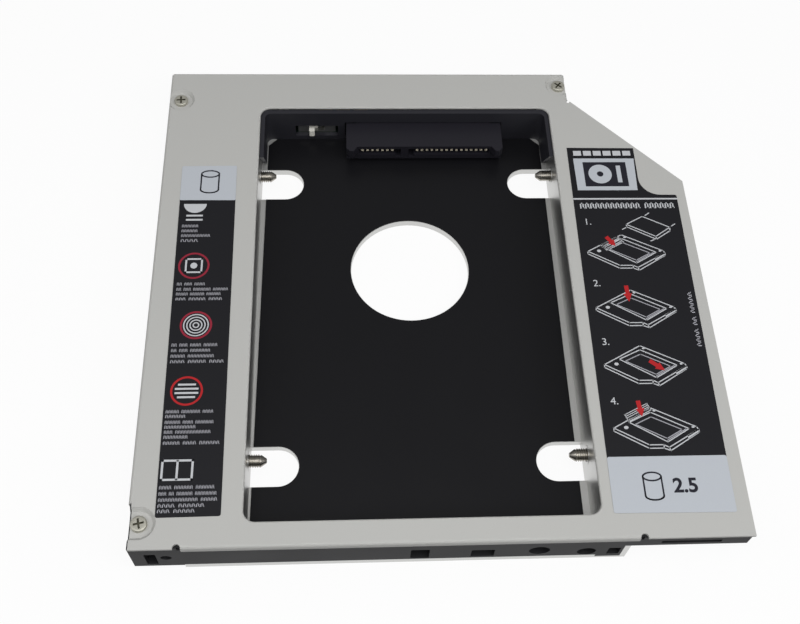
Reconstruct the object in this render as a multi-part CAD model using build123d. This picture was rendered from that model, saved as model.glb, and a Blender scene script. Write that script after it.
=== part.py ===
from build123d import *
import os

# A caddy that carries a 2.5 inch drive in a slim optical drive's bay.
# Millimetres. While modelling, X runs right from the left side, Y runs back from the
# front lip and Z runs up from the underside. Export moves the origin to the middle of
# the underside.

# Sheet, walls and fits
SHEET = 0.6          # top cover
WALL = 1.2           # tray walls
FLOOR = 1.8          # tray floor
FILM = 0.2           # insulating film on the bay floor
FIT = 0.1            # gap between the cover's flanges and the tray
TRIM = 0.3           # how far the tray stays inside the cover's plain edges
SCREW_GAP = 0.05     # radial gap round a screw's shank
FACE_IN = 0.35       # front bar's face and the tray's front edge, behind the cover's edge

# Widths, from left to right
LEFT_CHANNEL = 20.1
BAY_WIDTH = 73.6
RIGHT_CHANNEL = 4.0
WING_WIDTH = 24.8

# Depths, from front to back
BAR_DEPTH = 3.5
BAY_LENGTH = 109.0
REAR_ROOM = 9.8

# Heights
HEIGHT = 12.7
WING_THICKNESS = 5.5
LIP_DROP = 3.0       # the cover's side and rear lips
FRONT_LIP_DROP = 1.7

# Outline of the rear right corner
CORNER_STEP = 1.0    # the rear right corner's distance inside the body's side
STEP_LENGTH = 9.1    # the short side behind the slanted edge
SLANT_LENGTH = 26.4  # the slanted edge, measured along Y

# Bay
BAY_RADIUS = 2.5
EDGE_ROUND = 0.4
HOLE_RADIUS = 14.35
HOLE_FROM_FRONT = 66.8
SLOT_WIDTH = 9.2
SLOT_REACH = 10.6
FILM_FRONT = 0.75
FILM_LEFT_GAPS = (0.4, 1.4)     # front, back
FILM_RIGHT_GAPS = (1.65, 1.2)
FILM_CORNER = 2.2
FILM_CUT = 0.1

# Drive that the caddy takes: its side screw holes
DRIVE_STOP = 2.3     # drive's connector end, in front of the bay opening's rear edge
DRIVE_HOLE_END = 14.0
DRIVE_HOLE_PITCH = 76.6
DRIVE_HOLE_HEIGHT = 3.0
DRIVE_LIFT = 0.2

# Drive screws and their nuts
DRIVE_SCREW_RADIUS = 1.45
DRIVE_SCREW_REACH = 3.9
DRIVE_SCREW_CONE = 1.3
DRIVE_SCREW_TIP = 0.45
DRIVE_HEAD_RADIUS = 2.4
DRIVE_HEAD_HEIGHT = 1.6
DRIVE_HEAD_GAP = 0.1
DRIVER_GAP = 0.6
NUT_RADIUS = 2.6
NUT_NECK_RADIUS = 2.0
NUT_PROUD = 0.8

# Cover screws and the dished pads that they sit in
COVER_SCREW_RADIUS = 0.95
COVER_SCREW_LENGTH = 5.5
COVER_HEAD_RADIUS = 1.9
COVER_HEAD_HEIGHT = 0.85
HEAD_CROWN = 0.3
PAD_RADIUS = 2.75
PAD_SLOPE = 0.7
PAD_DEPTH = 0.9
PAD_RUN = 6.0        # the front pad runs out to the left
POST_RADIUS = 2.3
REAR_LEFT_SCREW_IN = 2.9
REAR_LEFT_SCREW_FROM_BACK = 9.0
REAR_RIGHT_SCREW_IN = 1.9
REAR_RIGHT_SCREW_FROM_BACK = 4.0
FRONT_SCREW_IN = 2.4
FRONT_SCREW_FROM_FRONT = 5.5
CROSS_WIDTH = 0.42
CROSS_LENGTH = 1.9
CROSS_DEPTH = 0.55

# Cover bends
BEND = 0.7
RELIEF_WIDTH = 1.6
RELIEF_DEPTH = 0.5
RELIEF_LEFT = 10.25
RELIEF_PAST_BODY = 1.7
CORNER_RELIEF = 1.0

# Front bar
BLOCK_WIDTH = 9.95
BLOCK_DEPTH = 9.05
BLOCK_FOOT = 1.4
END_FOOT_WIDTH = 5.4
END_FOOT = 0.8
LIP_REBATE = 0.1      # gap round the cover's front lip
BAR_END_GAP = 0.3
SOCKET_DEPTH = 2.6
SOCKET_ROUND = 0.3
DIMPLE_RADIUS = 1.15
DIMPLE_DEPTH = 1.2
BAR_SCREW_RADIUS = 0.95
BAR_SCREW_LENGTH = 5.5
BAR_HEAD_RADIUS = 1.8
BAR_HEAD_HEIGHT = 0.9
BAR_SCREW_LEFT_IN = 6.8
BAR_SCREW_RIGHT_IN = 18.7

# Sockets in the front bar
END_SOCKET_IN = 3.6
END_SOCKET_RISE = 5.5
END_SOCKET_WIDTH = 2.3
END_SOCKET_HEIGHT = 5.9
END_DIMPLE_IN = 6.7
END_DIMPLE_RISE = 6.3
FIRST_SOCKET_FROM_MIDDLE = -0.7
FIRST_SOCKET_RISE = 4.95
FIRST_SOCKET_WIDTH = 3.9
FIRST_SOCKET_HEIGHT = 5.2
SECOND_SOCKET_FROM_MIDDLE = 12.4
SECOND_SOCKET_RISE = 4.6
SECOND_SOCKET_WIDTH = 4.9
SECOND_SOCKET_HEIGHT = 3.9
LAST_SOCKET_IN = 1.9
LAST_SOCKET_RISE = 4.1
LAST_SOCKET_WIDTH = 2.6
LAST_SOCKET_HEIGHT = 3.7
WING_SOCKET_PAST_BODY = 12.3
WING_SOCKET_RISE = 1.9
WING_SOCKET_WIDTH = 12.7
WING_SOCKET_HEIGHT = 1.4
LARGE_PEG_IN = 17.8
LARGE_PEG_RISE = 5.4
LARGE_PEG_RADIUS = 2.2
SMALL_PEG_IN = 7.7
SMALL_PEG_RISE = 4.15
SMALL_PEG_RADIUS = 2.0

# Laptop bracket's screw holes in the rear wall
BRACKET_HOLE_RADIUS = 0.8
BRACKET_HOLE_DEPTH = 3.6
BRACKET_BOSS_RADIUS = 2.2
BRACKET_BOSS_LENGTH = 3.4
BRACKET_FROM_LEFT = 6.6
BRACKET_PITCH = 11.0
BRACKET_HEIGHT = 6.3

# Circuit board and what it carries
BOARD = 1.0
BOARD_LIFT = 0.6
BOARD_SIDE = 1.8
BOARD_BEHIND_HOLDER = 0.1
BOARD_BACK_GAP = 0.4
BOARD_SCREW_SIDE = 3.4
BOARD_SCREW_FROM_HOST = 2.0
BOARD_SCREW_BACK = 3.8
BOARD_SCREW_RADIUS = 0.95
BOARD_SCREW_LENGTH = 2.6
BOARD_HEAD_RADIUS = 1.75
BOARD_HEAD_HEIGHT = 0.9
BOARD_POST_RADIUS = 2.2

PLUG_OFFSET = 4.8    # drive connector's middle, right of the bay's middle
PLUG_BODY = 34.4
PLUG_EAR = 2.8
PLUG_HEIGHT = 4.8
PLUG_NOSE = 7.7
PLUG_EAR_REACH = 1.4
PLUG_EAR_HEIGHT = 2.4
PLUG_ROOT = 3.6
PLUG_SLOT_HEIGHT = 2.2
PLUG_SLOT_DEPTH = 5.8
PLUG_SLOT_RISE = 1.6
SLOT_PAST_CONTACT = 0.95
KEY_PAST_CONTACT = 2.2
KEY_WIDTH = 1.4
KEY_DROP = 0.8
PITCH = 1.27
GROUP_GAP = 6.35      # last signal contact to first power contact
SIGNAL_COUNT = 7
POWER_COUNT = 15
CONTACT_WIDTH = 0.6
CONTACT_THICKNESS = 0.3
CONTACT_NOSE = 0.9
CONTACT_LENGTH = 5.4
CONTACT_LIFT = 0.15
HOST_CONTACT_WIDTH = 0.5

HOST_LENGTH = 33.0
HOST_HEIGHT = 4.6
HOST_DEPTH = 8.2
HOST_RIGHT_GAP = 0.2
HOST_SHELL = 0.9
HOST_MOUTH = 5.6
HOST_PROUD = 0.5
HOST_OPENING_GAP = 0.4
TONGUE_THICKNESS = 1.2
TONGUE_SHORT = 0.6
HOST_SIGNAL_TONGUE = 9.6
HOST_POWER_TONGUE = 8.0
HOST_POWER_PITCH = 1.0
HOST_POWER_COUNT = 6
TONGUE_BRIDGE = 3.2
PAD_PRINT = 0.1

SWITCH_LENGTH = 9.6
SWITCH_DEPTH = 3.6
SWITCH_HEIGHT = 3.4
SWITCH_WALL = 0.45
SWITCH_FROM_PLUG = 7.65
SWITCH_BEHIND_HOLDER = 0.2
SWITCH_TRAVEL = 2.5
LEVER_WIDTH = 1.4
LEVER_HEIGHT = 1.9
LEVER_DROP = 0.2       # below the frame's middle
LEVER_OUT = 0.7
LEVER_GAP = 0.12
LEVER_FOOT = 0.7
LEVER_OFFSET = -1.25

CAPACITOR_LENGTH = 3.4
CAPACITOR_DEPTH = 2.6
CAPACITOR_HEIGHT = 1.9
CAPACITOR_PITCH = 4.6
CAPACITOR_COUNT = 3
CAPACITOR_BAND = 0.7

# Rear holder
HOLDER_WALL = 1.2
HOLDER_ARM = 1.0
HOLDER_ARM_LENGTH = 14.0
HOLDER_ARM_SLANT = 6.0
HOLDER_SIDE_GAP = 0.1
HOLDER_TOP_GAP = 0.1
HOLDER_DRIVE_GAP = 0.9
HOLDER_PLUG_GAP = 0.3
WINDOW_LENGTH = 11.0
WINDOW_HEIGHT = 3.9
WINDOW_RISE = -0.1

# Labels
LABEL = 0.08
LABEL_ROUND = 0.5
LEFT_LABEL_IN = 5.2
LEFT_LABEL_WIDTH = 13.2
LEFT_LABEL_FRONT = 6.6
LEFT_LABEL_LENGTH = 89.1
LEFT_LABEL_TURN = 0.5
RIGHT_LABEL_IN = 2.35
RIGHT_LABEL_WIDTH = 25.75
RIGHT_LABEL_FRONT = 5.3
RIGHT_LABEL_LENGTH = 81.2
RIGHT_LABEL_TURN = -0.6
RIGHT_LABEL_NECK = 14.5
RIGHT_LABEL_NECK_WIDTH = 16.9
RIGHT_LABEL_CURVE = 4.9

# Places that follow from the sizes above
FLANGE = SHEET + FIT
BAY_LEFT = FLANGE + WALL + LEFT_CHANNEL + WALL
BAY_RIGHT = BAY_LEFT + BAY_WIDTH
BAY_MIDDLE = (BAY_LEFT + BAY_RIGHT) / 2
BODY_RIGHT = BAY_RIGHT + WALL + RIGHT_CHANNEL + WALL
WIDTH = BODY_RIGHT + WING_WIDTH
BAR_BACK = FLANGE + BAR_DEPTH
BAY_FRONT = BAR_BACK + WALL
BAY_REAR = BAY_FRONT + BAY_LENGTH
REAR_INSIDE = BAY_REAR + REAR_ROOM
TRAY_BACK = REAR_INSIDE + WALL
DEPTH = TRAY_BACK + FLANGE
UNDER_COVER = HEIGHT - SHEET
WING_BOTTOM = HEIGHT - WING_THICKNESS
CORNER_X = BODY_RIGHT - CORNER_STEP
CORNER_Y = DEPTH - STEP_LENGTH
SLANT_END = CORNER_Y - SLANT_LENGTH
BLOCK_RIGHT = FLANGE + BLOCK_WIDTH
BLOCK_BACK = FLANGE + BLOCK_DEPTH
BAR_RIGHT = BODY_RIGHT - WALL
END_FOOT_LEFT = BAR_RIGHT - END_FOOT_WIDTH
FILM_TOP = FLOOR + FILM

DRIVE_END = BAY_REAR - DRIVE_STOP
SCREW_REAR_Y = DRIVE_END - DRIVE_HOLE_END
SCREW_FRONT_Y = SCREW_REAR_Y - DRIVE_HOLE_PITCH
SCREW_Z = FILM_TOP + DRIVE_LIFT + DRIVE_HOLE_HEIGHT
SCREW_PLACES = {
    "left_rear": (BAY_LEFT, SCREW_REAR_Y, 1),
    "left_front": (BAY_LEFT, SCREW_FRONT_Y, 1),
    "right_rear": (BAY_RIGHT, SCREW_REAR_Y, -1),
    "right_front": (BAY_RIGHT, SCREW_FRONT_Y, -1),
}

PAD_BOTTOM = UNDER_COVER - PAD_DEPTH
REAR_PADS = [
    (REAR_LEFT_SCREW_IN, DEPTH - REAR_LEFT_SCREW_FROM_BACK),
    (CORNER_X - REAR_RIGHT_SCREW_IN, DEPTH - REAR_RIGHT_SCREW_FROM_BACK),
]
FRONT_PAD = (FRONT_SCREW_IN, FRONT_SCREW_FROM_FRONT)

BOARD_BOTTOM = FLOOR + BOARD_LIFT
BOARD_TOP = BOARD_BOTTOM + BOARD
BOARD_LEFT = BAY_LEFT + BOARD_SIDE
BOARD_RIGHT = BAY_RIGHT - BOARD_SIDE
HOLDER_FRONT = DRIVE_END + HOLDER_DRIVE_GAP
HOLDER_BACK = HOLDER_FRONT + HOLDER_WALL
BOARD_BACK = REAR_INSIDE - BOARD_BACK_GAP
BOARD_FRONT = HOLDER_BACK + BOARD_BEHIND_HOLDER
PLUG_X = BAY_MIDDLE + PLUG_OFFSET
PLUG_LEFT = PLUG_X - PLUG_BODY / 2
PLUG_TOP = BOARD_TOP + PLUG_HEIGHT
PLUG_FACE = HOLDER_FRONT - PLUG_NOSE
PLUG_BACK = HOLDER_FRONT + PLUG_ROOT
SLOT_BOTTOM = BOARD_TOP + PLUG_SLOT_RISE
SLOT_TOP = SLOT_BOTTOM + PLUG_SLOT_HEIGHT
SIGNAL_SPAN = (SIGNAL_COUNT - 1) * PITCH
POWER_SPAN = (POWER_COUNT - 1) * PITCH
FIRST_SIGNAL = PLUG_X - (SIGNAL_SPAN + GROUP_GAP + POWER_SPAN) / 2
FIRST_POWER = FIRST_SIGNAL + SIGNAL_SPAN + GROUP_GAP
HOST_RIGHT = BOARD_RIGHT - HOST_RIGHT_GAP
HOST_LEFT = HOST_RIGHT - HOST_LENGTH
HOST_BACK = TRAY_BACK + HOST_PROUD
HOST_FRONT = HOST_BACK - HOST_DEPTH
HOST_TOP = BOARD_TOP + HOST_HEIGHT
BOARD_SCREW_Y = BOARD_BACK - BOARD_SCREW_BACK
BOARD_SCREWS = [
    (BOARD_LEFT + BOARD_SCREW_SIDE, BOARD_SCREW_Y),
    (HOST_LEFT - BOARD_SCREW_FROM_HOST, BOARD_SCREW_Y),
]
SWITCH_MIDDLE = PLUG_LEFT - PLUG_EAR - SWITCH_FROM_PLUG
SWITCH_LEFT = SWITCH_MIDDLE - SWITCH_LENGTH / 2
SWITCH_FRONT = HOLDER_BACK + SWITCH_BEHIND_HOLDER
SWITCH_TOP = BOARD_TOP + SWITCH_HEIGHT
LEVER_Z = BOARD_TOP + SWITCH_HEIGHT / 2 - LEVER_DROP
LEVER_X = SWITCH_MIDDLE + LEVER_OFFSET
BAR_SCREW_Y = (FLANGE + BAR_BACK) / 2
BAR_SCREWS = [(BAY_LEFT + BAR_SCREW_LEFT_IN, BAR_SCREW_Y), (BAY_RIGHT - BAR_SCREW_RIGHT_IN, BAR_SCREW_Y)]

# Front sockets: middle across, middle up, width and height
SOCKETS = [
    (FLANGE + END_SOCKET_IN, END_SOCKET_RISE, END_SOCKET_WIDTH, END_SOCKET_HEIGHT),
    (BAY_MIDDLE + FIRST_SOCKET_FROM_MIDDLE, FIRST_SOCKET_RISE, FIRST_SOCKET_WIDTH, FIRST_SOCKET_HEIGHT),
    (BAY_MIDDLE + SECOND_SOCKET_FROM_MIDDLE, SECOND_SOCKET_RISE, SECOND_SOCKET_WIDTH, SECOND_SOCKET_HEIGHT),
    (BAR_RIGHT - LAST_SOCKET_IN, LAST_SOCKET_RISE, LAST_SOCKET_WIDTH, LAST_SOCKET_HEIGHT),
    (BODY_RIGHT + WING_SOCKET_PAST_BODY, WING_BOTTOM + WING_SOCKET_RISE, WING_SOCKET_WIDTH, WING_SOCKET_HEIGHT),
]
PEG_HOLES = [
    (BAR_RIGHT - LARGE_PEG_IN, LARGE_PEG_RISE, LARGE_PEG_RADIUS),
    (BAR_RIGHT - SMALL_PEG_IN, SMALL_PEG_RISE, SMALL_PEG_RADIUS),
]


def block(x0, x1, y0, y1, z0, z1):
    """A box between two corners."""
    middle = ((x0 + x1) / 2, (y0 + y1) / 2, (z0 + z1) / 2)
    return Pos(*middle) * Box(x1 - x0, y1 - y0, z1 - z0)


def upright(x, y, z0, z1, radius):
    """A round peg standing along Z."""
    return Pos(x, y, (z0 + z1) / 2) * Cylinder(radius, z1 - z0)


def along_x(x0, x1, y, z, radius):
    """A round peg lying along X."""
    return Pos((x0 + x1) / 2, y, z) * Rot(0, 90, 0) * Cylinder(radius, abs(x1 - x0))


def along_y(x, y0, y1, z, radius):
    """A round peg lying along Y."""
    return Pos(x, (y0 + y1) / 2, z) * Rot(90, 0, 0) * Cylinder(radius, y1 - y0)


def rectangle(x0, x1, y0, y1, radius=0.0):
    """A flat rectangle between two corners, with round corners if asked."""
    middle = Pos((x0 + x1) / 2, (y0 + y1) / 2)
    if radius > 0:
        return middle * RectangleRounded(x1 - x0, y1 - y0, radius)
    return middle * Rectangle(x1 - x0, y1 - y0)


def raised(face, z0, z1):
    """A flat face made solid between two heights."""
    return extrude(Pos(0, 0, z0) * face, z1 - z0, dir=(0, 0, 1))


def frustum(x, y, z0, z1, low_radius, high_radius):
    """A round dish shape, wider at the top."""
    return Pos(x, y, (z0 + z1) / 2) * Cone(low_radius, high_radius, z1 - z0)


def cross_recess(depth, length):
    """A screwdriver's cross, cut down from the origin along -Z."""
    bar = Pos(0, 0, -depth / 2) * Box(length, CROSS_WIDTH, depth)
    return bar + Rot(0, 0, 90) * bar


def cover_face():
    """The cover's flat outline, seen from above."""
    return make_face(Polyline(
        (FLANGE, 0), (WIDTH, 0), (WIDTH, SLANT_END), (CORNER_X, CORNER_Y), (CORNER_X, DEPTH),
        (0, DEPTH), (0, BLOCK_BACK), (FLANGE, BLOCK_BACK), close=True))


def slant_y(x, inset):
    """The slanted edge's place along Y at an X, drawn in by an inset."""
    slope = SLANT_LENGTH / (WIDTH - CORNER_X)
    return CORNER_Y - (x - CORNER_X) * slope - inset * (1 + slope ** 2) ** 0.5


def tray_face(right, inset=0.0):
    """The tray's outline as far as a right edge, drawn in by an inset."""
    left = FLANGE + inset
    front = FACE_IN + inset
    back = TRAY_BACK - inset
    far = right - inset
    corner = CORNER_X - FLANGE - inset
    return make_face(Polyline(
        (BLOCK_RIGHT + inset, front), (far, front), (far, slant_y(far, TRIM + inset)),
        (corner, slant_y(corner, TRIM + inset)), (corner, back), (left, back),
        (left, BLOCK_BACK + inset), (BLOCK_RIGHT + inset, BLOCK_BACK + inset), close=True))


def floor_cuts(gap):
    """The bay floor's round hole and four slots, seen from above."""
    cuts = Pos(BAY_MIDDLE, BAY_FRONT + HOLE_FROM_FRONT) * Circle(HOLE_RADIUS + gap)
    half = SLOT_WIDTH / 2 + gap
    for side_x, y, way in SCREW_PLACES.values():
        round_x = side_x + way * (SLOT_REACH - SLOT_WIDTH / 2)
        low_x, high_x = min(side_x, round_x), max(side_x, round_x)
        cuts += rectangle(low_x, high_x, y - half, y + half)
        cuts += Pos(round_x, y) * Circle(half)
    return cuts


def make_tray():
    """The cast tray: floor, walls, wing shelf, posts and bosses in one piece."""
    upper, upper_inside = tray_face(WIDTH - TRIM), tray_face(WIDTH - TRIM, WALL)
    lower, lower_inside = tray_face(BODY_RIGHT), tray_face(BODY_RIGHT, WALL)
    tray = raised(lower, 0, UNDER_COVER) + raised(upper, WING_BOTTOM, UNDER_COVER)

    left_room = lower_inside & rectangle(0, BAY_LEFT - WALL, BAY_FRONT, REAR_INSIDE)
    right_room = lower_inside & rectangle(BAY_RIGHT + WALL, WIDTH, BAY_FRONT, BAY_REAR)
    wing_room = upper_inside & rectangle(BAY_RIGHT + WALL, WIDTH, BAY_FRONT, BAY_REAR)
    rear_room = lower_inside & rectangle(BAY_LEFT, WIDTH, BAY_REAR + WALL, REAR_INSIDE)
    bay_room = rectangle(BAY_LEFT, BAY_RIGHT, BAY_FRONT, REAR_INSIDE, BAY_RADIUS)
    bay_room += rectangle(BAY_LEFT, BAY_RIGHT, BAY_REAR, REAR_INSIDE)
    for room in (left_room, right_room, rear_room, bay_room):
        tray -= raised(room, FLOOR, UNDER_COVER)
    tray -= raised(wing_room, WING_BOTTOM + WALL, UNDER_COVER)

    # room for the front bar
    tray -= block(0, BAR_RIGHT, 0, BAR_BACK, FLOOR, HEIGHT)
    tray -= block(END_FOOT_LEFT, BAR_RIGHT, 0, BAR_BACK, END_FOOT, HEIGHT)
    tray -= block(0, WIDTH, 0, BAR_BACK, WING_BOTTOM, HEIGHT)

    tray -= raised(floor_cuts(0), 0, FLOOR)
    for x, y, _way in SCREW_PLACES.values():
        tray -= along_x(x - 2 * WALL, x + 2 * WALL, y, SCREW_Z, NUT_NECK_RADIUS + SCREW_GAP)
        driver_radius = DRIVE_HEAD_RADIUS + DRIVER_GAP
        tray -= along_x(0, FLANGE + 2 * WALL, y, SCREW_Z, driver_radius)
        tray -= along_x(BAR_RIGHT - WALL, BODY_RIGHT + WALL, y, SCREW_Z, driver_radius)

    # posts under the cover's rear pads
    inside = raised(lower, 0, PAD_BOTTOM)
    for x, y in REAR_PADS:
        tray += upright(x, y, 0, PAD_BOTTOM, POST_RADIUS) & inside
        tray -= pad_shell(x, y)
        tray -= upright(x, y, PAD_BOTTOM - COVER_SCREW_LENGTH, HEIGHT, COVER_SCREW_RADIUS + SCREW_GAP)

    # posts that lift the circuit board
    for x, y in BOARD_SCREWS:
        tray += upright(x, y, FLOOR, BOARD_BOTTOM, BOARD_POST_RADIUS)
        tray -= upright(x, y, 0, BOARD_BOTTOM, BOARD_SCREW_RADIUS + SCREW_GAP)

    # bosses behind the laptop bracket's two screw holes
    for x in (BRACKET_FROM_LEFT, BRACKET_FROM_LEFT + BRACKET_PITCH):
        tray += along_y(x, REAR_INSIDE - BRACKET_BOSS_LENGTH, REAR_INSIDE, BRACKET_HEIGHT, BRACKET_BOSS_RADIUS)
        tray -= along_y(x, TRAY_BACK - BRACKET_HOLE_DEPTH, TRAY_BACK, BRACKET_HEIGHT, BRACKET_HOLE_RADIUS)

    # rear opening for the host connector
    tray -= block(HOST_LEFT - HOST_OPENING_GAP, HOST_RIGHT + HOST_OPENING_GAP, REAR_INSIDE, TRAY_BACK,
                  BOARD_BOTTOM, HOST_TOP + HOST_OPENING_GAP)

    # countersunk holes for the front bar's screws
    for x, y in BAR_SCREWS:
        tray -= upright(x, y, 0, FLOOR, BAR_SCREW_RADIUS + SCREW_GAP)
        tray -= frustum(x, y, 0, BAR_HEAD_HEIGHT, BAR_HEAD_RADIUS + SCREW_GAP, BAR_SCREW_RADIUS + SCREW_GAP)
    return tray


def pad_shell(x, y):
    """The underside of a dished pad, as a solid dish."""
    low, high = PAD_RADIUS, PAD_RADIUS + PAD_SLOPE
    return frustum(x, y, PAD_BOTTOM, UNDER_COVER, low, high)


def front_pad(rise):
    """The front pad's dish and its run out to the left, raised by the sheet or not."""
    x, y = FRONT_PAD
    low, high = PAD_RADIUS, PAD_RADIUS + PAD_SLOPE
    bottom, top = PAD_BOTTOM + rise, UNDER_COVER + rise
    section = make_face(Polyline((-low, 0), (low, 0), (high, top - bottom), (-high, top - bottom), close=True))
    across = Plane(origin=(x, y, bottom), x_dir=(0, 1, 0), z_dir=(1, 0, 0))
    return frustum(x, y, bottom, top, low, high) + extrude(across * section, PAD_RUN, dir=(-1, 0, 0))


def make_cover():
    """The sheet cover: plate, bent lips, dished screw pads and bend reliefs."""
    outline = cover_face()
    cover = raised(outline, UNDER_COVER, HEIGHT)
    lip_left = RELIEF_LEFT
    lip_right = BODY_RIGHT + RELIEF_PAST_BODY
    low = HEIGHT - LIP_DROP
    cover += block(lip_left, lip_right, 0, SHEET, HEIGHT - FRONT_LIP_DROP, HEIGHT)
    cover += block(0, SHEET, BLOCK_BACK, DEPTH - CORNER_RELIEF, low, HEIGHT)
    cover += block(CORNER_RELIEF, CORNER_X - CORNER_RELIEF, DEPTH - SHEET, DEPTH, low, HEIGHT)
    cover += block(CORNER_X - SHEET, CORNER_X, CORNER_Y + CORNER_RELIEF / 2, DEPTH - CORNER_RELIEF, low, HEIGHT)

    # round the bends
    axis_z = HEIGHT - BEND
    cover -= block(lip_left, lip_right, 0, BEND, axis_z, HEIGHT) - along_x(lip_left, lip_right, BEND, axis_z, BEND)
    cover -= block(0, CORNER_X, DEPTH - BEND, DEPTH, axis_z, HEIGHT) - along_x(0, CORNER_X, DEPTH - BEND, axis_z, BEND)
    cover -= block(0, BEND, BLOCK_BACK, DEPTH, axis_z, HEIGHT) - along_y(BEND, BLOCK_BACK, DEPTH, axis_z, BEND)
    side = CORNER_X - BEND
    cover -= block(side, CORNER_X, CORNER_Y, DEPTH, axis_z, HEIGHT) - along_y(side, CORNER_Y, DEPTH, axis_z, BEND)

    # reliefs at the ends of the bends
    for x in (lip_left, lip_right):
        cover -= block(x - RELIEF_WIDTH / 2, x + RELIEF_WIDTH / 2, 0, RELIEF_DEPTH / 2, low, HEIGHT)
        cover -= upright(x, RELIEF_DEPTH / 2, low, HEIGHT, RELIEF_WIDTH / 2)
    corner = CORNER_RELIEF / 2
    cover -= block(0, corner, DEPTH - corner, DEPTH, low, HEIGHT)
    cover -= block(CORNER_X - corner, CORNER_X, DEPTH - corner, DEPTH, low, HEIGHT)
    cover -= upright(CORNER_X, CORNER_Y - corner, low, HEIGHT, corner)

    for x, y in REAR_PADS:
        cover += pad_shell(x, y) & raised(outline, 0, HEIGHT)
        cover -= frustum(x, y, PAD_BOTTOM + SHEET, HEIGHT, PAD_RADIUS, PAD_RADIUS + PAD_SLOPE)
    cover += front_pad(0) & raised(outline, 0, HEIGHT)
    cover -= front_pad(SHEET)
    for x, y in REAR_PADS + [FRONT_PAD]:
        cover -= upright(x, y, 0, HEIGHT, COVER_SCREW_RADIUS + SCREW_GAP)

    opening = rectangle(BAY_LEFT, BAY_RIGHT, BAY_FRONT, BAY_REAR, BAY_RADIUS)
    cover -= raised(opening, 0, HEIGHT)
    rim = [e for e in cover.edges() if abs(e.center().Z - HEIGHT) < 0.01 and round_bay(e)]
    return fillet(rim, EDGE_ROUND)


def round_bay(edge):
    """Whether an edge lies on the bay opening's rim."""
    at = edge.center()
    inside_x = BAY_LEFT - 0.01 <= at.X <= BAY_RIGHT + 0.01
    inside_y = BAY_FRONT - 0.01 <= at.Y <= BAY_REAR + 0.01
    return inside_x and inside_y


def make_film():
    """The black insulating film on the bay floor, a little out of square."""
    front, back = BAY_FRONT + FILM_FRONT, HOLDER_FRONT - FILM_CUT
    left, right = BAY_LEFT + FILM_LEFT_GAPS[1], BAY_RIGHT - FILM_RIGHT_GAPS[1]
    sheet = make_face(Polyline(
        (BAY_LEFT + FILM_LEFT_GAPS[0], front), (BAY_RIGHT - FILM_RIGHT_GAPS[0], front),
        (right, back - FILM_CORNER), (right - FILM_CORNER, back),
        (left + FILM_CORNER, back), (left, back - FILM_CORNER), close=True))
    return raised(sheet - floor_cuts(FILM_CUT), FLOOR, FILM_TOP)


def make_bar():
    """The moulded front bar with its end block, wing arm and sockets."""
    bar = block(BLOCK_RIGHT, BAR_RIGHT, FACE_IN, BAR_BACK, FLOOR, UNDER_COVER)
    bar += block(FACE_IN, BLOCK_RIGHT, FACE_IN, BLOCK_BACK, BLOCK_FOOT, UNDER_COVER)
    bar += block(BAR_RIGHT, WIDTH - BAR_END_GAP, FACE_IN, BAR_BACK, WING_BOTTOM, UNDER_COVER)
    bar += block(END_FOOT_LEFT, BAR_RIGHT, FACE_IN, BAR_BACK, END_FOOT, UNDER_COVER)
    rebate_end = BODY_RIGHT + RELIEF_PAST_BODY + LIP_REBATE
    bar -= block(RELIEF_LEFT - LIP_REBATE, rebate_end, 0, SHEET + LIP_REBATE,
                 HEIGHT - FRONT_LIP_DROP - LIP_REBATE, HEIGHT)
    for x, z, width, height in SOCKETS:
        mouth = Pos(x, FACE_IN, z) * Rot(90, 0, 0) * RectangleRounded(width, height, SOCKET_ROUND)
        bar -= extrude(mouth, SOCKET_DEPTH, dir=(0, 1, 0))
    for x, z, radius in PEG_HOLES:
        bar -= along_y(x, FACE_IN, FACE_IN + SOCKET_DEPTH, z, radius)
    bar -= along_y(FLANGE + END_DIMPLE_IN, FACE_IN, FACE_IN + DIMPLE_DEPTH, END_DIMPLE_RISE, DIMPLE_RADIUS)
    x, y = FRONT_PAD
    bar -= front_pad(0)
    bar -= upright(x, y, PAD_BOTTOM - COVER_SCREW_LENGTH, HEIGHT, COVER_SCREW_RADIUS + SCREW_GAP)
    for x, y in BAR_SCREWS:
        bar -= upright(x, y, 0, BAR_SCREW_LENGTH, BAR_SCREW_RADIUS + SCREW_GAP)
    return bar


def pan_head(radius, height):
    """A screw head standing on the origin, with a rounded crown and a cross."""
    head = Pos(0, 0, height / 2) * Cylinder(radius, height)
    head = fillet(head.edges().group_by(Axis.Z)[-1], HEAD_CROWN)
    return head - Pos(0, 0, height) * cross_recess(CROSS_DEPTH, CROSS_LENGTH)


def pan_screw(x, y, seat, radius, length, head_radius, head_height):
    """An upright pan head screw whose head rests at the height of its seat."""
    screw = upright(x, y, seat - length, seat, radius)
    return screw + Pos(x, y, seat) * pan_head(head_radius, head_height)


def make_cover_screws():
    """The three screws that hold the cover."""
    seat = PAD_BOTTOM + SHEET
    return [pan_screw(x, y, seat, COVER_SCREW_RADIUS, COVER_SCREW_LENGTH, COVER_HEAD_RADIUS, COVER_HEAD_HEIGHT)
            for x, y in REAR_PADS + [FRONT_PAD]]


def make_bar_screws():
    """The two countersunk screws that hold the front bar from below."""
    screws = []
    for x, y in BAR_SCREWS:
        screw = upright(x, y, 0, BAR_SCREW_LENGTH - SCREW_GAP, BAR_SCREW_RADIUS)
        screw += frustum(x, y, 0, BAR_HEAD_HEIGHT, BAR_HEAD_RADIUS, BAR_SCREW_RADIUS)
        screws.append(screw - Pos(x, y, 0) * Rot(180, 0, 0) * cross_recess(CROSS_DEPTH, CROSS_LENGTH))
    return screws


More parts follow.
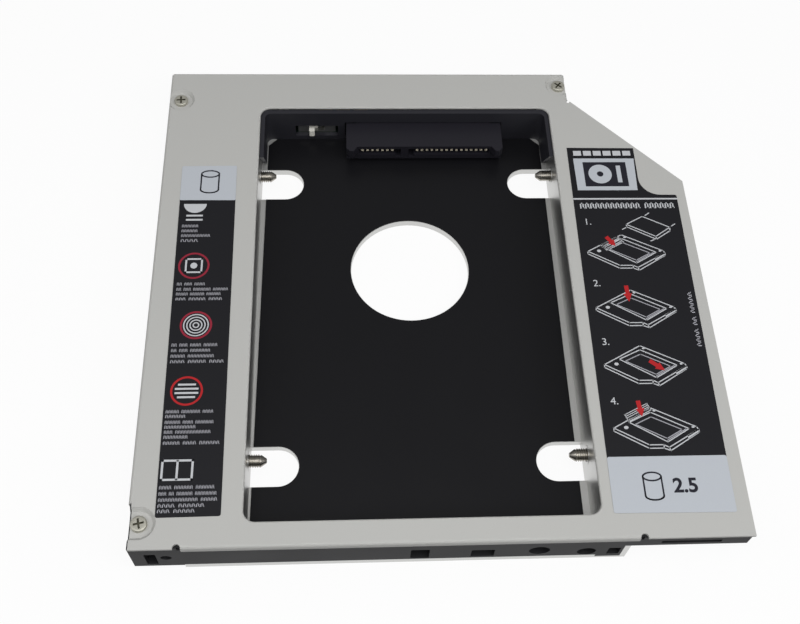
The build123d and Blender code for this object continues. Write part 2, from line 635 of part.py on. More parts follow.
def make_nuts():
    """The four pressed-in nuts in the bay's side walls."""
    nuts = []
    for x, y, way in SCREW_PLACES.values():
        nut = along_x(x, x + way * NUT_PROUD, y, SCREW_Z, NUT_RADIUS)
        nut += along_x(x - way * WALL, x, y, SCREW_Z, NUT_NECK_RADIUS)
        nut -= along_x(x - way * 2 * WALL, x + way * 2 * WALL, y, SCREW_Z, DRIVE_SCREW_RADIUS + SCREW_GAP)
        nuts.append(nut)
    return nuts


def make_drive_screw(x, y, way):
    """A cone-point screw through a bay wall, its head on the wall's far side."""
    seat = WALL + DRIVE_HEAD_GAP
    straight = DRIVE_SCREW_REACH - DRIVE_SCREW_CONE
    screw = Pos(0, 0, (straight - seat) / 2) * Cylinder(DRIVE_SCREW_RADIUS, straight + seat)
    screw += Pos(0, 0, straight + DRIVE_SCREW_CONE / 2) * Cone(DRIVE_SCREW_RADIUS, DRIVE_SCREW_TIP, DRIVE_SCREW_CONE)
    screw += Pos(0, 0, -seat) * Rot(180, 0, 0) * pan_head(DRIVE_HEAD_RADIUS, DRIVE_HEAD_HEIGHT)
    return Pos(x, y, SCREW_Z) * Rot(0, 90 * way, 0) * screw


def make_board():
    """The circuit board behind the bay."""
    board = block(BOARD_LEFT, BOARD_RIGHT, BOARD_FRONT, BOARD_BACK, BOARD_BOTTOM, BOARD_TOP)
    for x, y in BOARD_SCREWS:
        board -= upright(x, y, BOARD_BOTTOM, BOARD_TOP, BOARD_SCREW_RADIUS + SCREW_GAP)
    return board


def make_board_screws():
    """The two screws that hold the board on its posts."""
    return [pan_screw(x, y, BOARD_TOP, BOARD_SCREW_RADIUS, BOARD_SCREW_LENGTH, BOARD_HEAD_RADIUS, BOARD_HEAD_HEIGHT)
            for x, y in BOARD_SCREWS]


def plug_slots():
    """Left and right ends of the drive connector's slots and their keys, signal first."""
    signal_left = FIRST_SIGNAL - SLOT_PAST_CONTACT
    signal_right = FIRST_SIGNAL + SIGNAL_SPAN + KEY_PAST_CONTACT
    power_left = FIRST_POWER - KEY_PAST_CONTACT
    power_right = FIRST_POWER + POWER_SPAN + SLOT_PAST_CONTACT
    return [
        (signal_left, signal_right, signal_right - KEY_WIDTH, signal_right),
        (power_left, power_right, power_left, power_left + KEY_WIDTH),
    ]


def make_plug():
    """The drive connector's housing: body, guide ears, keyed slots."""
    right = PLUG_LEFT + PLUG_BODY
    plug = block(PLUG_LEFT, right, PLUG_FACE, PLUG_BACK, BOARD_TOP, PLUG_TOP)
    tip = PLUG_FACE - PLUG_EAR_REACH
    for outer, inner in ((PLUG_LEFT - PLUG_EAR, PLUG_LEFT), (right + PLUG_EAR, right)):
        plug += block(min(outer, inner), max(outer, inner), PLUG_FACE, HOLDER_FRONT, BOARD_TOP, PLUG_TOP)
        taper = (inner - outer) * 0.35
        ear = make_face(Polyline(
            (outer, PLUG_FACE), (outer, tip + abs(taper)), (outer + taper, tip),
            (inner - taper, tip), (inner, PLUG_FACE), close=True))
        plug += raised(ear, PLUG_TOP - PLUG_EAR_HEIGHT, PLUG_TOP)
    deep = PLUG_FACE + PLUG_SLOT_DEPTH
    for slot_left, slot_right, key_left, key_right in plug_slots():
        plug -= block(slot_left, slot_right, PLUG_FACE, deep, SLOT_BOTTOM, SLOT_TOP)
        plug -= block(key_left, key_right, PLUG_FACE, deep, SLOT_BOTTOM - KEY_DROP, SLOT_BOTTOM)
    return plug


def make_plug_contacts():
    """The drive connector's contacts, under the upper side of its slots, each with a bent nose."""
    contacts = []
    for first, count in ((FIRST_SIGNAL, SIGNAL_COUNT), (FIRST_POWER, POWER_COUNT)):
        for n in range(count):
            left = first + n * PITCH - CONTACT_WIDTH / 2
            right = left + CONTACT_WIDTH
            y = PLUG_FACE + CONTACT_LIFT
            contact = block(left, right, y, y + CONTACT_LENGTH, SLOT_TOP - CONTACT_THICKNESS, SLOT_TOP)
            contact += block(left, right, y, y + CONTACT_THICKNESS, SLOT_TOP - CONTACT_NOSE, SLOT_TOP)
            contacts.append(contact)
    return contacts


def host_tongues():
    """Left ends and widths of the host connector's two tongues, signal first."""
    left = HOST_LEFT + (HOST_LENGTH - HOST_SIGNAL_TONGUE - TONGUE_BRIDGE - HOST_POWER_TONGUE) / 2
    return [(left, HOST_SIGNAL_TONGUE), (left + HOST_SIGNAL_TONGUE + TONGUE_BRIDGE, HOST_POWER_TONGUE)]


def make_host():
    """The host connector at the back: a shell round two keyed tongues."""
    host = block(HOST_LEFT, HOST_RIGHT, HOST_FRONT, HOST_BACK, BOARD_TOP, HOST_TOP)
    host -= block(HOST_LEFT + HOST_SHELL, HOST_RIGHT - HOST_SHELL, HOST_BACK - HOST_MOUTH, HOST_BACK,
                  BOARD_TOP + HOST_SHELL / 2, HOST_TOP - HOST_SHELL / 2)
    middle = (BOARD_TOP + HOST_TOP) / 2
    for left, width in host_tongues():
        host += block(left, left + width, HOST_BACK - HOST_MOUTH, HOST_BACK - TONGUE_SHORT,
                      middle - TONGUE_THICKNESS / 2, middle + TONGUE_THICKNESS / 2)
        host += block(left + width - KEY_WIDTH / 2, left + width, HOST_BACK - HOST_MOUTH, HOST_BACK - TONGUE_SHORT,
                      middle - TONGUE_THICKNESS / 2, middle + TONGUE_THICKNESS)
    return host


def make_host_contacts():
    """The host connector's contact strips, under its tongues."""
    contacts = []
    under = (BOARD_TOP + HOST_TOP - TONGUE_THICKNESS) / 2
    rows = ((SIGNAL_COUNT, PITCH), (HOST_POWER_COUNT, HOST_POWER_PITCH))
    for (left, width), (count, pitch) in zip(host_tongues(), rows):
        first = left + (width - (count - 1) * pitch) / 2
        for n in range(count):
            x = first + n * pitch
            contacts.append(block(x - HOST_CONTACT_WIDTH / 2, x + HOST_CONTACT_WIDTH / 2, HOST_BACK - HOST_MOUTH,
                                  HOST_BACK - TONGUE_SHORT, under - PAD_PRINT, under))
    return contacts


def lever_size(gap):
    """The slide lever's half width and half height, with a gap all round."""
    return LEVER_WIDTH / 2 + gap, LEVER_HEIGHT / 2 + gap


def make_switch():
    """The slide switch's frame on the board, with the lever's track inside."""
    switch = block(SWITCH_LEFT, SWITCH_LEFT + SWITCH_LENGTH, SWITCH_FRONT, SWITCH_FRONT + SWITCH_DEPTH,
                   BOARD_TOP, SWITCH_TOP)
    half, up = lever_size(LEVER_GAP)
    slot_right = LEVER_X + half + SWITCH_TRAVEL
    switch -= block(LEVER_X - half, slot_right, SWITCH_FRONT, SWITCH_FRONT + SWITCH_WALL, LEVER_Z - up, LEVER_Z + up)
    switch -= block(LEVER_X - half - LEVER_FOOT, slot_right + LEVER_FOOT, SWITCH_FRONT + SWITCH_WALL,
                    SWITCH_FRONT + SWITCH_DEPTH - SWITCH_WALL, BOARD_TOP + SWITCH_WALL, SWITCH_TOP - SWITCH_WALL)
    return switch


def make_lever():
    """The slide switch's lever, with its wider foot inside the frame."""
    half, up = lever_size(0)
    lever = block(LEVER_X - half, LEVER_X + half, HOLDER_FRONT - LEVER_OUT, SWITCH_FRONT + SWITCH_WALL + LEVER_GAP,
                  LEVER_Z - up, LEVER_Z + up)
    lever = fillet(lever.edges().filter_by(Axis.Z).group_by(Axis.Y)[0], HEAD_CROWN)
    lever += block(LEVER_X - half - LEVER_FOOT, LEVER_X + half + LEVER_FOOT, SWITCH_FRONT + SWITCH_WALL + LEVER_GAP,
                   SWITCH_FRONT + SWITCH_DEPTH - SWITCH_WALL - LEVER_GAP, BOARD_TOP + SWITCH_WALL + LEVER_GAP,
                   SWITCH_TOP - SWITCH_WALL - LEVER_GAP)
    return lever


def make_capacitors():
    """A row of chip capacitors on the board."""
    row_middle = (BOARD_SCREWS[0][0] + BOARD_SCREWS[1][0]) / 2
    first = row_middle - ((CAPACITOR_COUNT - 1) * CAPACITOR_PITCH + CAPACITOR_LENGTH) / 2
    row = []
    for n in range(CAPACITOR_COUNT):
        x = first + n * CAPACITOR_PITCH
        y = BOARD_SCREW_Y - CAPACITOR_DEPTH / 2
        body = block(x, x + CAPACITOR_LENGTH, y, y + CAPACITOR_DEPTH, BOARD_TOP, BOARD_TOP + CAPACITOR_HEIGHT)
        row.append(chamfer(body.edges().group_by(Axis.Z)[-1], CAPACITOR_BAND / 2))
    return row


def make_holder():
    """The black holder behind the bay: a wall with two slanted arms, a window and an opening for the plug."""
    left, right = BAY_LEFT + HOLDER_SIDE_GAP, BAY_RIGHT - HOLDER_SIDE_GAP
    arm_front = HOLDER_FRONT - HOLDER_ARM_LENGTH
    top = UNDER_COVER - HOLDER_TOP_GAP
    plan = rectangle(left, right, arm_front, HOLDER_BACK)
    plan -= rectangle(left + HOLDER_ARM, right - HOLDER_ARM, arm_front - BAY_RADIUS, HOLDER_FRONT,
                      BAY_RADIUS - HOLDER_ARM)
    holder = raised(plan, FLOOR, top)
    wedge = make_face(Polyline((0, 0), (HOLDER_ARM_SLANT, 0), (0, top - FLOOR), close=True))
    side = Plane(origin=(left, arm_front, FLOOR), x_dir=(0, 1, 0), z_dir=(1, 0, 0))
    holder -= extrude(side * wedge, right - left, dir=(1, 0, 0))
    plug_right = PLUG_LEFT + PLUG_BODY + PLUG_EAR
    holder -= block(PLUG_LEFT - PLUG_EAR - HOLDER_PLUG_GAP, plug_right + HOLDER_PLUG_GAP, HOLDER_FRONT, HOLDER_BACK,
                    BOARD_TOP - HOLDER_PLUG_GAP, PLUG_TOP + HOLDER_PLUG_GAP)
    return holder - block(SWITCH_MIDDLE - WINDOW_LENGTH / 2, SWITCH_MIDDLE + WINDOW_LENGTH / 2, HOLDER_FRONT,
                          HOLDER_BACK, BOARD_TOP + WINDOW_RISE, BOARD_TOP + WINDOW_RISE + WINDOW_HEIGHT)


def make_left_label():
    """The narrow label left of the bay, set a little askew."""
    face = RectangleRounded(LEFT_LABEL_WIDTH, LEFT_LABEL_LENGTH, LABEL_ROUND)
    x = LEFT_LABEL_IN + LEFT_LABEL_WIDTH / 2
    y = LEFT_LABEL_FRONT + LEFT_LABEL_LENGTH / 2
    return raised(Pos(x, y) * Rot(0, 0, LEFT_LABEL_TURN) * face, HEIGHT, HEIGHT + LABEL)


def make_right_label():
    """The wide label on the wing, with a narrower neck at its rear end."""
    half, length = RIGHT_LABEL_WIDTH / 2, RIGHT_LABEL_LENGTH
    face = Pos(0, length / 2) * RectangleRounded(RIGHT_LABEL_WIDTH, length, LABEL_ROUND)
    neck_x = -half + RIGHT_LABEL_NECK_WIDTH
    foot = length - LABEL_ROUND
    face += rectangle(-half, neck_x, foot, length + RIGHT_LABEL_NECK)
    curve = rectangle(neck_x, neck_x + RIGHT_LABEL_CURVE, foot, length + RIGHT_LABEL_CURVE)
    face += curve - Pos(neck_x + RIGHT_LABEL_CURVE, length + RIGHT_LABEL_CURVE) * Circle(RIGHT_LABEL_CURVE)
    x = BAY_RIGHT + RIGHT_LABEL_IN + half
    return raised(Pos(x, RIGHT_LABEL_FRONT) * Rot(0, 0, RIGHT_LABEL_TURN) * face, HEIGHT, HEIGHT + LABEL)


def save(name, pieces):
    """Moves a node to the row frame and writes it."""
    solids = pieces if isinstance(pieces, list) else pieces.solids()
    placed = [Pos(-WIDTH / 2, -DEPTH / 2, 0) * solid for solid in solids]
    shape = placed[0] if len(placed) == 1 else Compound(children=placed)
    export_step(shape, os.path.join("parts", name + ".step"))


def main():
    os.makedirs("parts", exist_ok=True)
    save("base_tray", make_tray())
    save("top_cover", make_cover())
    save("bay_film", make_film())
    save("front_bar", make_bar())
    save("cover_screws", make_cover_screws())
    save("front_bar_screws", make_bar_screws())
    save("drive_screw_nuts", make_nuts())
    for place, (x, y, way) in SCREW_PLACES.items():
        save("drive_screw_" + place, make_drive_screw(x, y, way))
    save("circuit_board", make_board())
    save("board_screws", make_board_screws())
    save("drive_connector", make_plug())
    save("drive_contacts", make_plug_contacts())
    save("host_connector", make_host())
    save("host_contacts", make_host_contacts())
    save("switch_frame", make_switch())
    save("switch_lever", make_lever())
    save("board_capacitors", make_capacitors())
    save("rear_holder", make_holder())
    save("left_label", make_left_label())
    save("right_label", make_right_label())


main()
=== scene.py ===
"""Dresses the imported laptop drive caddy: finishes, label print, threaded screws, studio and camera.

Places are given in millimetres from the cover's left edge, its front edge and the tray's underside, and are
turned into the frame's metres where a mesh is made.
"""

import logging
import math
from collections.abc import Callable, Iterable
from dataclasses import dataclass, field
from enum import Enum

import bmesh
import bpy
from mathutils import Matrix, Vector


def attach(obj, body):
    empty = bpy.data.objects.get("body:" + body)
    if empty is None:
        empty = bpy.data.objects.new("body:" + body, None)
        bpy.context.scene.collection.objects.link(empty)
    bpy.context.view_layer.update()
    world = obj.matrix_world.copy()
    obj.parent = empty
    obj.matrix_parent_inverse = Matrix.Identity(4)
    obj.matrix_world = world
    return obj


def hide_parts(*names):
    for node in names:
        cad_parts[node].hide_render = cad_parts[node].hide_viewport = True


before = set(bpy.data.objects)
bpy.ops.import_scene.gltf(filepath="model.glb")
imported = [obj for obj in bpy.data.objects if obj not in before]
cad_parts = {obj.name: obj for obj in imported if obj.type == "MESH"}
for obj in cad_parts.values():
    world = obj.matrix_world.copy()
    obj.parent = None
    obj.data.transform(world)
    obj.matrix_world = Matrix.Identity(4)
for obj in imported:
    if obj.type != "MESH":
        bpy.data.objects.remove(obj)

LOG = logging.getLogger("caddy")
MM = 0.001
HALF_WIDTH = 64.0
HALF_DEPTH = 63.05
MIDDLE = (HALF_WIDTH, HALF_DEPTH)
BODY = "caddy"

# How near two heights in metres count as one, and how upright a level face's normal is
SAME_HEIGHT = 1e-6
LEVEL = 0.9

Point = tuple[float, float]
Place = tuple[float, float, float]
Colour = tuple[float, float, float]
Piece = bpy.types.Object
Tree = bpy.types.NodeTree
Node = bpy.types.Node
Socket = bpy.types.NodeSocket
Edge = bmesh.types.BMEdge
Part = Edge | bmesh.types.BMFace


def srgb(red: int, green: int, blue: int) -> Colour:
    """Turns a colour as it looks on a screen into the linear one that a shader takes.

    Args:
        red: Red from 0 to 255.
        green: Green from 0 to 255.
        blue: Blue from 0 to 255.

    Returns:
        The linear colour.
    """
    def linear(value: int) -> float:
        """Returns one channel in linear light."""
        share = value / 255
        return share / 12.92 if share <= 0.04045 else ((share + 0.055) / 1.055) ** 2.4
    return linear(red), linear(green), linear(blue)


def place(x: float, y: float, z: float) -> Vector:
    """Turns a place on the caddy into the frame.

    Args:
        x: Millimetres from the left edge.
        y: Millimetres from the front edge.
        z: Millimetres above the underside.

    Returns:
        The place in metres in the frame.
    """
    return Vector(((x - HALF_WIDTH) * MM, (y - HALF_DEPTH) * MM, z * MM))


# Shader nodes

def found(tree: Tree, kind: str) -> Node:
    """Returns a tree's first node of a kind."""
    return next(node for node in tree.nodes if node.type == kind)


def fill(node: Node, values: dict[str, float]) -> None:
    """Sets inputs of a node by their names."""
    for name, value in values.items():
        node.inputs[name].default_value = value


def worked(tree: Tree, operation: str, *values: Socket | float, clamp: bool = False) -> Socket:
    """Adds a Math node.

    Args:
        tree: The node tree that gets it.
        operation: What it works out.
        values: Its inputs in order, each a socket or a number.
        clamp: Whether its result stays between 0 and 1.

    Returns:
        Its result.
    """
    node = tree.nodes.new("ShaderNodeMath")
    node.operation = operation
    node.use_clamp = clamp
    for socket, value in zip(node.inputs, values):
        if isinstance(value, bpy.types.NodeSocket):
            tree.links.new(value, socket)
        else:
            socket.default_value = value
    return node.outputs["Value"]


def ranged(tree: Tree, value: Socket, before: Point, after: Point) -> Socket:
    """Adds a Map Range node.

    Args:
        tree: The node tree that gets it.
        value: Its input.
        before: The two ends of the input's range.
        after: What those ends become.

    Returns:
        Its result.
    """
    node = tree.nodes.new("ShaderNodeMapRange")
    fill(node, {"From Min": before[0], "From Max": before[1], "To Min": after[0], "To Max": after[1]})
    tree.links.new(value, node.inputs["Value"])
    return node.outputs["Result"]


class GroupMaker:
    """Builds one shader node group with named number inputs and outputs."""

    def __init__(self, name: str, inputs: dict[str, float], outputs: tuple[str, ...]) -> None:
        """Starts the group.

        Args:
            name: The group's name.
            inputs: Input names and their first values.
            outputs: Output names.
        """
        self.tree = bpy.data.node_groups.new(name, "ShaderNodeTree")
        for key, value in inputs.items():
            self.socket(key, "INPUT").default_value = value
        for key in outputs:
            self.socket(key, "OUTPUT")
        self.start = self.tree.nodes.new("NodeGroupInput")
        self.end = self.tree.nodes.new("NodeGroupOutput")

    def socket(self, name: str, way: str) -> bpy.types.NodeTreeInterfaceSocket:
        """Adds a number socket to the group's inputs or outputs."""
        return self.tree.interface.new_socket(name=name, in_out=way, socket_type="NodeSocketFloat")

    def noise(self, stretch: Place, detail: float, scale: str) -> Socket:
        """Adds noise on Object coordinates.

        Args:
            stretch: How much each axis is squeezed.
            detail: The noise's detail.
            scale: The group input that holds the noise's scale.

        Returns:
            The noise's value.
        """
        where = self.tree.nodes.new("ShaderNodeTexCoord")
        squeeze = self.tree.nodes.new("ShaderNodeVectorMath")
        squeeze.operation = "MULTIPLY"
        squeeze.inputs[1].default_value = stretch
        noise = self.tree.nodes.new("ShaderNodeTexNoise")
        noise.inputs["Detail"].default_value = detail
        self.tree.links.new(where.outputs["Object"], squeeze.inputs[0])
        self.tree.links.new(squeeze.outputs["Vector"], noise.inputs["Vector"])
        self.tree.links.new(self.start.outputs[scale], noise.inputs["Scale"])
        return noise.outputs["Fac"]

    def swing(self, value: Socket, strength: str, centre: Socket | float, clamp: bool = False) -> Socket:
        """Turns noise into a centre plus or minus a strength.

        Args:
            value: The noise.
            strength: The group input that holds the strength.
            centre: The value in the middle.
            clamp: Whether the result stays between 0 and 1.

        Returns:
            The result.
        """
        about_zero = worked(self.tree, "SUBTRACT", value, 0.5)
        scaled = worked(self.tree, "MULTIPLY", about_zero, self.start.outputs[strength])
        return worked(self.tree, "ADD", scaled, centre, clamp=clamp)


class Grain(Enum):
    """How a surface's fine pattern runs."""

    EVEN = "even grain"
    ALONG_X = "grain drawn along X"
    ALONG_Y = "grain drawn along Y"


STRETCH = {Grain.EVEN: (1.0, 1.0, 1.0), Grain.ALONG_X: (0.03, 1.0, 1.0), Grain.ALONG_Y: (1.0, 0.03, 1.0)}
FINE_DETAIL = 3.0
SMUDGE_DETAIL = 4.0


def surface_group(grain: Grain) -> Tree:
    """Builds the group that gives a surface its fine grain and its handling smudges.

    Args:
        grain: How the fine pattern runs.

    Returns:
        The group, with outputs Tone, Rough and Height.
    """
    name = "surface " + grain.value
    if name in bpy.data.node_groups:
        return bpy.data.node_groups[name]
    inputs = {"Scale": 2000.0, "Tone Swing": 0.1, "Smudge Scale": 60.0, "Rough": 0.4, "Rough Swing": 0.1}
    maker = GroupMaker(name, inputs, ("Tone", "Rough", "Height"))
    fine = maker.noise(STRETCH[grain], FINE_DETAIL, "Scale")
    smudges = maker.noise(STRETCH[Grain.EVEN], SMUDGE_DETAIL, "Smudge Scale")
    results = {"Tone": maker.swing(fine, "Tone Swing", 1.0),
               "Rough": maker.swing(smudges, "Rough Swing", maker.start.outputs["Rough"], clamp=True),
               "Height": fine}
    for key, result in results.items():
        maker.tree.links.new(result, maker.end.inputs[key])
    return maker.tree


# Finishes

UPRIGHT_TO_LEVEL = (0.4, 0.9)
LEVEL_METAL_SHARE = 0.7
LEVEL_ROUGHER = 0.18


@dataclass(frozen=True)
class Finish:
    """One surface finish.

    Attributes:
        name: What the finish is called.
        colour: Its linear colour.
        metallic: 1 for bare metal, 0 for anything else.
        rough: Its mean roughness.
        specular: Its specular level.
        grain: How its fine pattern runs.
        grain_scale: The fine pattern's scale.
        tone_swing: How much the fine pattern changes the tone.
        smudge_scale: The scale of its handling marks.
        rough_swing: How much the handling marks change the roughness.
        bump: Height of the fine pattern in millimetres.
        dull_flats: Whether level faces, which get the most handling, are duller.
    """

    name: str
    colour: Colour
    metallic: float = 0.0
    rough: float = 0.5
    specular: float = 0.5
    grain: Grain = Grain.EVEN
    grain_scale: float = 2500.0
    tone_swing: float = 0.12
    smudge_scale: float = 70.0
    rough_swing: float = 0.12
    bump: float = 0.01
    dull_flats: bool = False

    def material(self) -> bpy.types.Material:
        """Builds the finish's material once.

        Returns:
            The material.
        """
        if self.name in bpy.data.materials:
            return bpy.data.materials[self.name]
        made = bpy.data.materials.new(self.name)
        made.use_nodes = True
        made.diffuse_color = (*self.colour, 1.0)
        tree = made.node_tree
        shader = found(tree, "BSDF_PRINCIPLED")
        fill(shader, {"Metallic": self.metallic, "Specular IOR Level": self.specular})
        group = tree.nodes.new("ShaderNodeGroup")
        group.node_tree = surface_group(self.grain)
        fill(group, {"Scale": self.grain_scale, "Tone Swing": self.tone_swing, "Rough": self.rough,
                     "Smudge Scale": self.smudge_scale, "Rough Swing": self.rough_swing})
        tint = tree.nodes.new("ShaderNodeVectorMath")
        tint.operation = "SCALE"
        tint.inputs[0].default_value = self.colour
        tree.links.new(group.outputs["Tone"], tint.inputs["Scale"])
        tree.links.new(tint.outputs["Vector"], shader.inputs["Base Color"])
        tree.links.new(group.outputs["Rough"], shader.inputs["Roughness"])
        if self.dull_flats:
            self.dull(tree, shader, group.outputs["Rough"])
        bump = tree.nodes.new("ShaderNodeBump")
        bump.inputs["Distance"].default_value = self.bump * MM
        tree.links.new(group.outputs["Height"], bump.inputs["Height"])
        tree.links.new(bump.outputs["Normal"], shader.inputs["Normal"])
        return made

    def dull(self, tree: Tree, shader: Node, rough: Socket) -> None:
        """Makes level faces rougher and less metallic than upright ones.

        Args:
            tree: The material's nodes.
            shader: Its shader.
            rough: The roughness of upright faces.
        """
        coords = tree.nodes.new("ShaderNodeTexCoord")
        split = tree.nodes.new("ShaderNodeSeparateXYZ")
        tree.links.new(coords.outputs["Normal"], split.inputs["Vector"])
        level = worked(tree, "ABSOLUTE", split.outputs["Z"])
        metal = ranged(tree, level, UPRIGHT_TO_LEVEL, (self.metallic, self.metallic * LEVEL_METAL_SHARE))
        rougher = ranged(tree, level, UPRIGHT_TO_LEVEL, (0.0, LEVEL_ROUGHER))
        tree.links.new(metal, shader.inputs["Metallic"])
        tree.links.new(worked(tree, "ADD", rough, rougher), shader.inputs["Roughness"])


def ink(name: str, colour: Colour, specular: float, tone_swing: float) -> Finish:
    """Returns the finish of a printed ink."""
    return Finish(name, colour, rough=0.45, specular=specular, tone_swing=tone_swing, bump=0.001)


COVER_SHEET = Finish(
    "cover sheet", srgb(191, 191, 188), rough=0.45, specular=0.22, grain_scale=4000.0, tone_swing=0.05,
    rough_swing=0.08, bump=0.004)
TRAY_METAL = Finish(
    "tray metal", srgb(205, 205, 203), metallic=1.0, rough=0.36, grain=Grain.ALONG_Y, grain_scale=5000.0,
    tone_swing=0.1, bump=0.003, dull_flats=True)
FILM = Finish(
    "bay film", srgb(20, 20, 23), rough=0.36, specular=0.2, grain_scale=5000.0, tone_swing=0.2, bump=0.003)
MOULDED = Finish(
    "moulded black", srgb(40, 40, 42), specular=0.1, grain_scale=3500.0, tone_swing=0.2, bump=0.012)
HOLDER = Finish(
    "holder black", srgb(42, 42, 48), rough=0.46, specular=0.3, grain_scale=3500.0, tone_swing=0.2,
    bump=0.008)
CONNECTOR = Finish(
    "connector black", srgb(32, 31, 38), rough=0.42, specular=0.3, grain_scale=3500.0, tone_swing=0.2,
    bump=0.008)
SCREW_METAL = Finish(
    "screw metal", srgb(184, 180, 172), metallic=1.0, rough=0.26, grain_scale=6000.0, bump=0.003)
HEAD_METAL = Finish(
    "head metal", srgb(190, 188, 176), metallic=0.6, rough=0.38, grain_scale=6000.0, tone_swing=0.08,
    bump=0.003)
# Painted shade: a dark colour for the cover screws' cross recesses, standing in for the shade that falls in
# them
PAINTED_RECESS_SHADE = Finish(
    "painted recess shade", srgb(96, 94, 78), metallic=0.3, rough=0.6, grain_scale=6000.0, tone_swing=0.3)
NUT_METAL = Finish(
    "nut metal", srgb(205, 205, 203), metallic=1.0, rough=0.36, grain_scale=6000.0, bump=0.003)
BOARD_MASK = Finish(
    "board mask", srgb(14, 30, 24), rough=0.32, grain_scale=1500.0, tone_swing=0.25, bump=0.005)
GOLD = Finish(
    "contact gold", srgb(240, 230, 206), metallic=0.4, rough=0.3, grain_scale=8000.0, tone_swing=0.08,
    bump=0.001)
SWITCH_CAN = Finish(
    "switch can", srgb(190, 190, 188), metallic=1.0, rough=0.3, grain=Grain.ALONG_X, bump=0.002)
LEVER = Finish(
    "lever", srgb(228, 226, 218), rough=0.45, grain_scale=4000.0, tone_swing=0.05, bump=0.004)
CHIP_BODY = Finish(
    "capacitor body", srgb(168, 134, 88), grain_scale=4000.0, tone_swing=0.2, bump=0.006)
LABEL_BLACK = Finish(
    "label black", srgb(28, 28, 32), rough=0.45, specular=0.22, grain_scale=3000.0, bump=0.003)
LABEL_PALE = Finish(
    "label pale", srgb(191, 196, 203), rough=0.42, specular=0.3, grain_scale=3000.0, tone_swing=0.04,
    bump=0.003)
PRINT_WHITE = ink("print white", srgb(200, 202, 206), 0.3, 0.05)
PRINT_GREY = ink("print grey", srgb(168, 168, 175), 0.3, 0.1)
PRINT_RED = ink("print red", srgb(184, 36, 40), 0.25, 0.08)
PRINT_DULL_RED = ink("print dull red", srgb(150, 40, 58), 0.25, 0.15)
PRINT_DARK = ink("print dark", srgb(34, 34, 44), 0.25, 0.1)


# Modelling bench

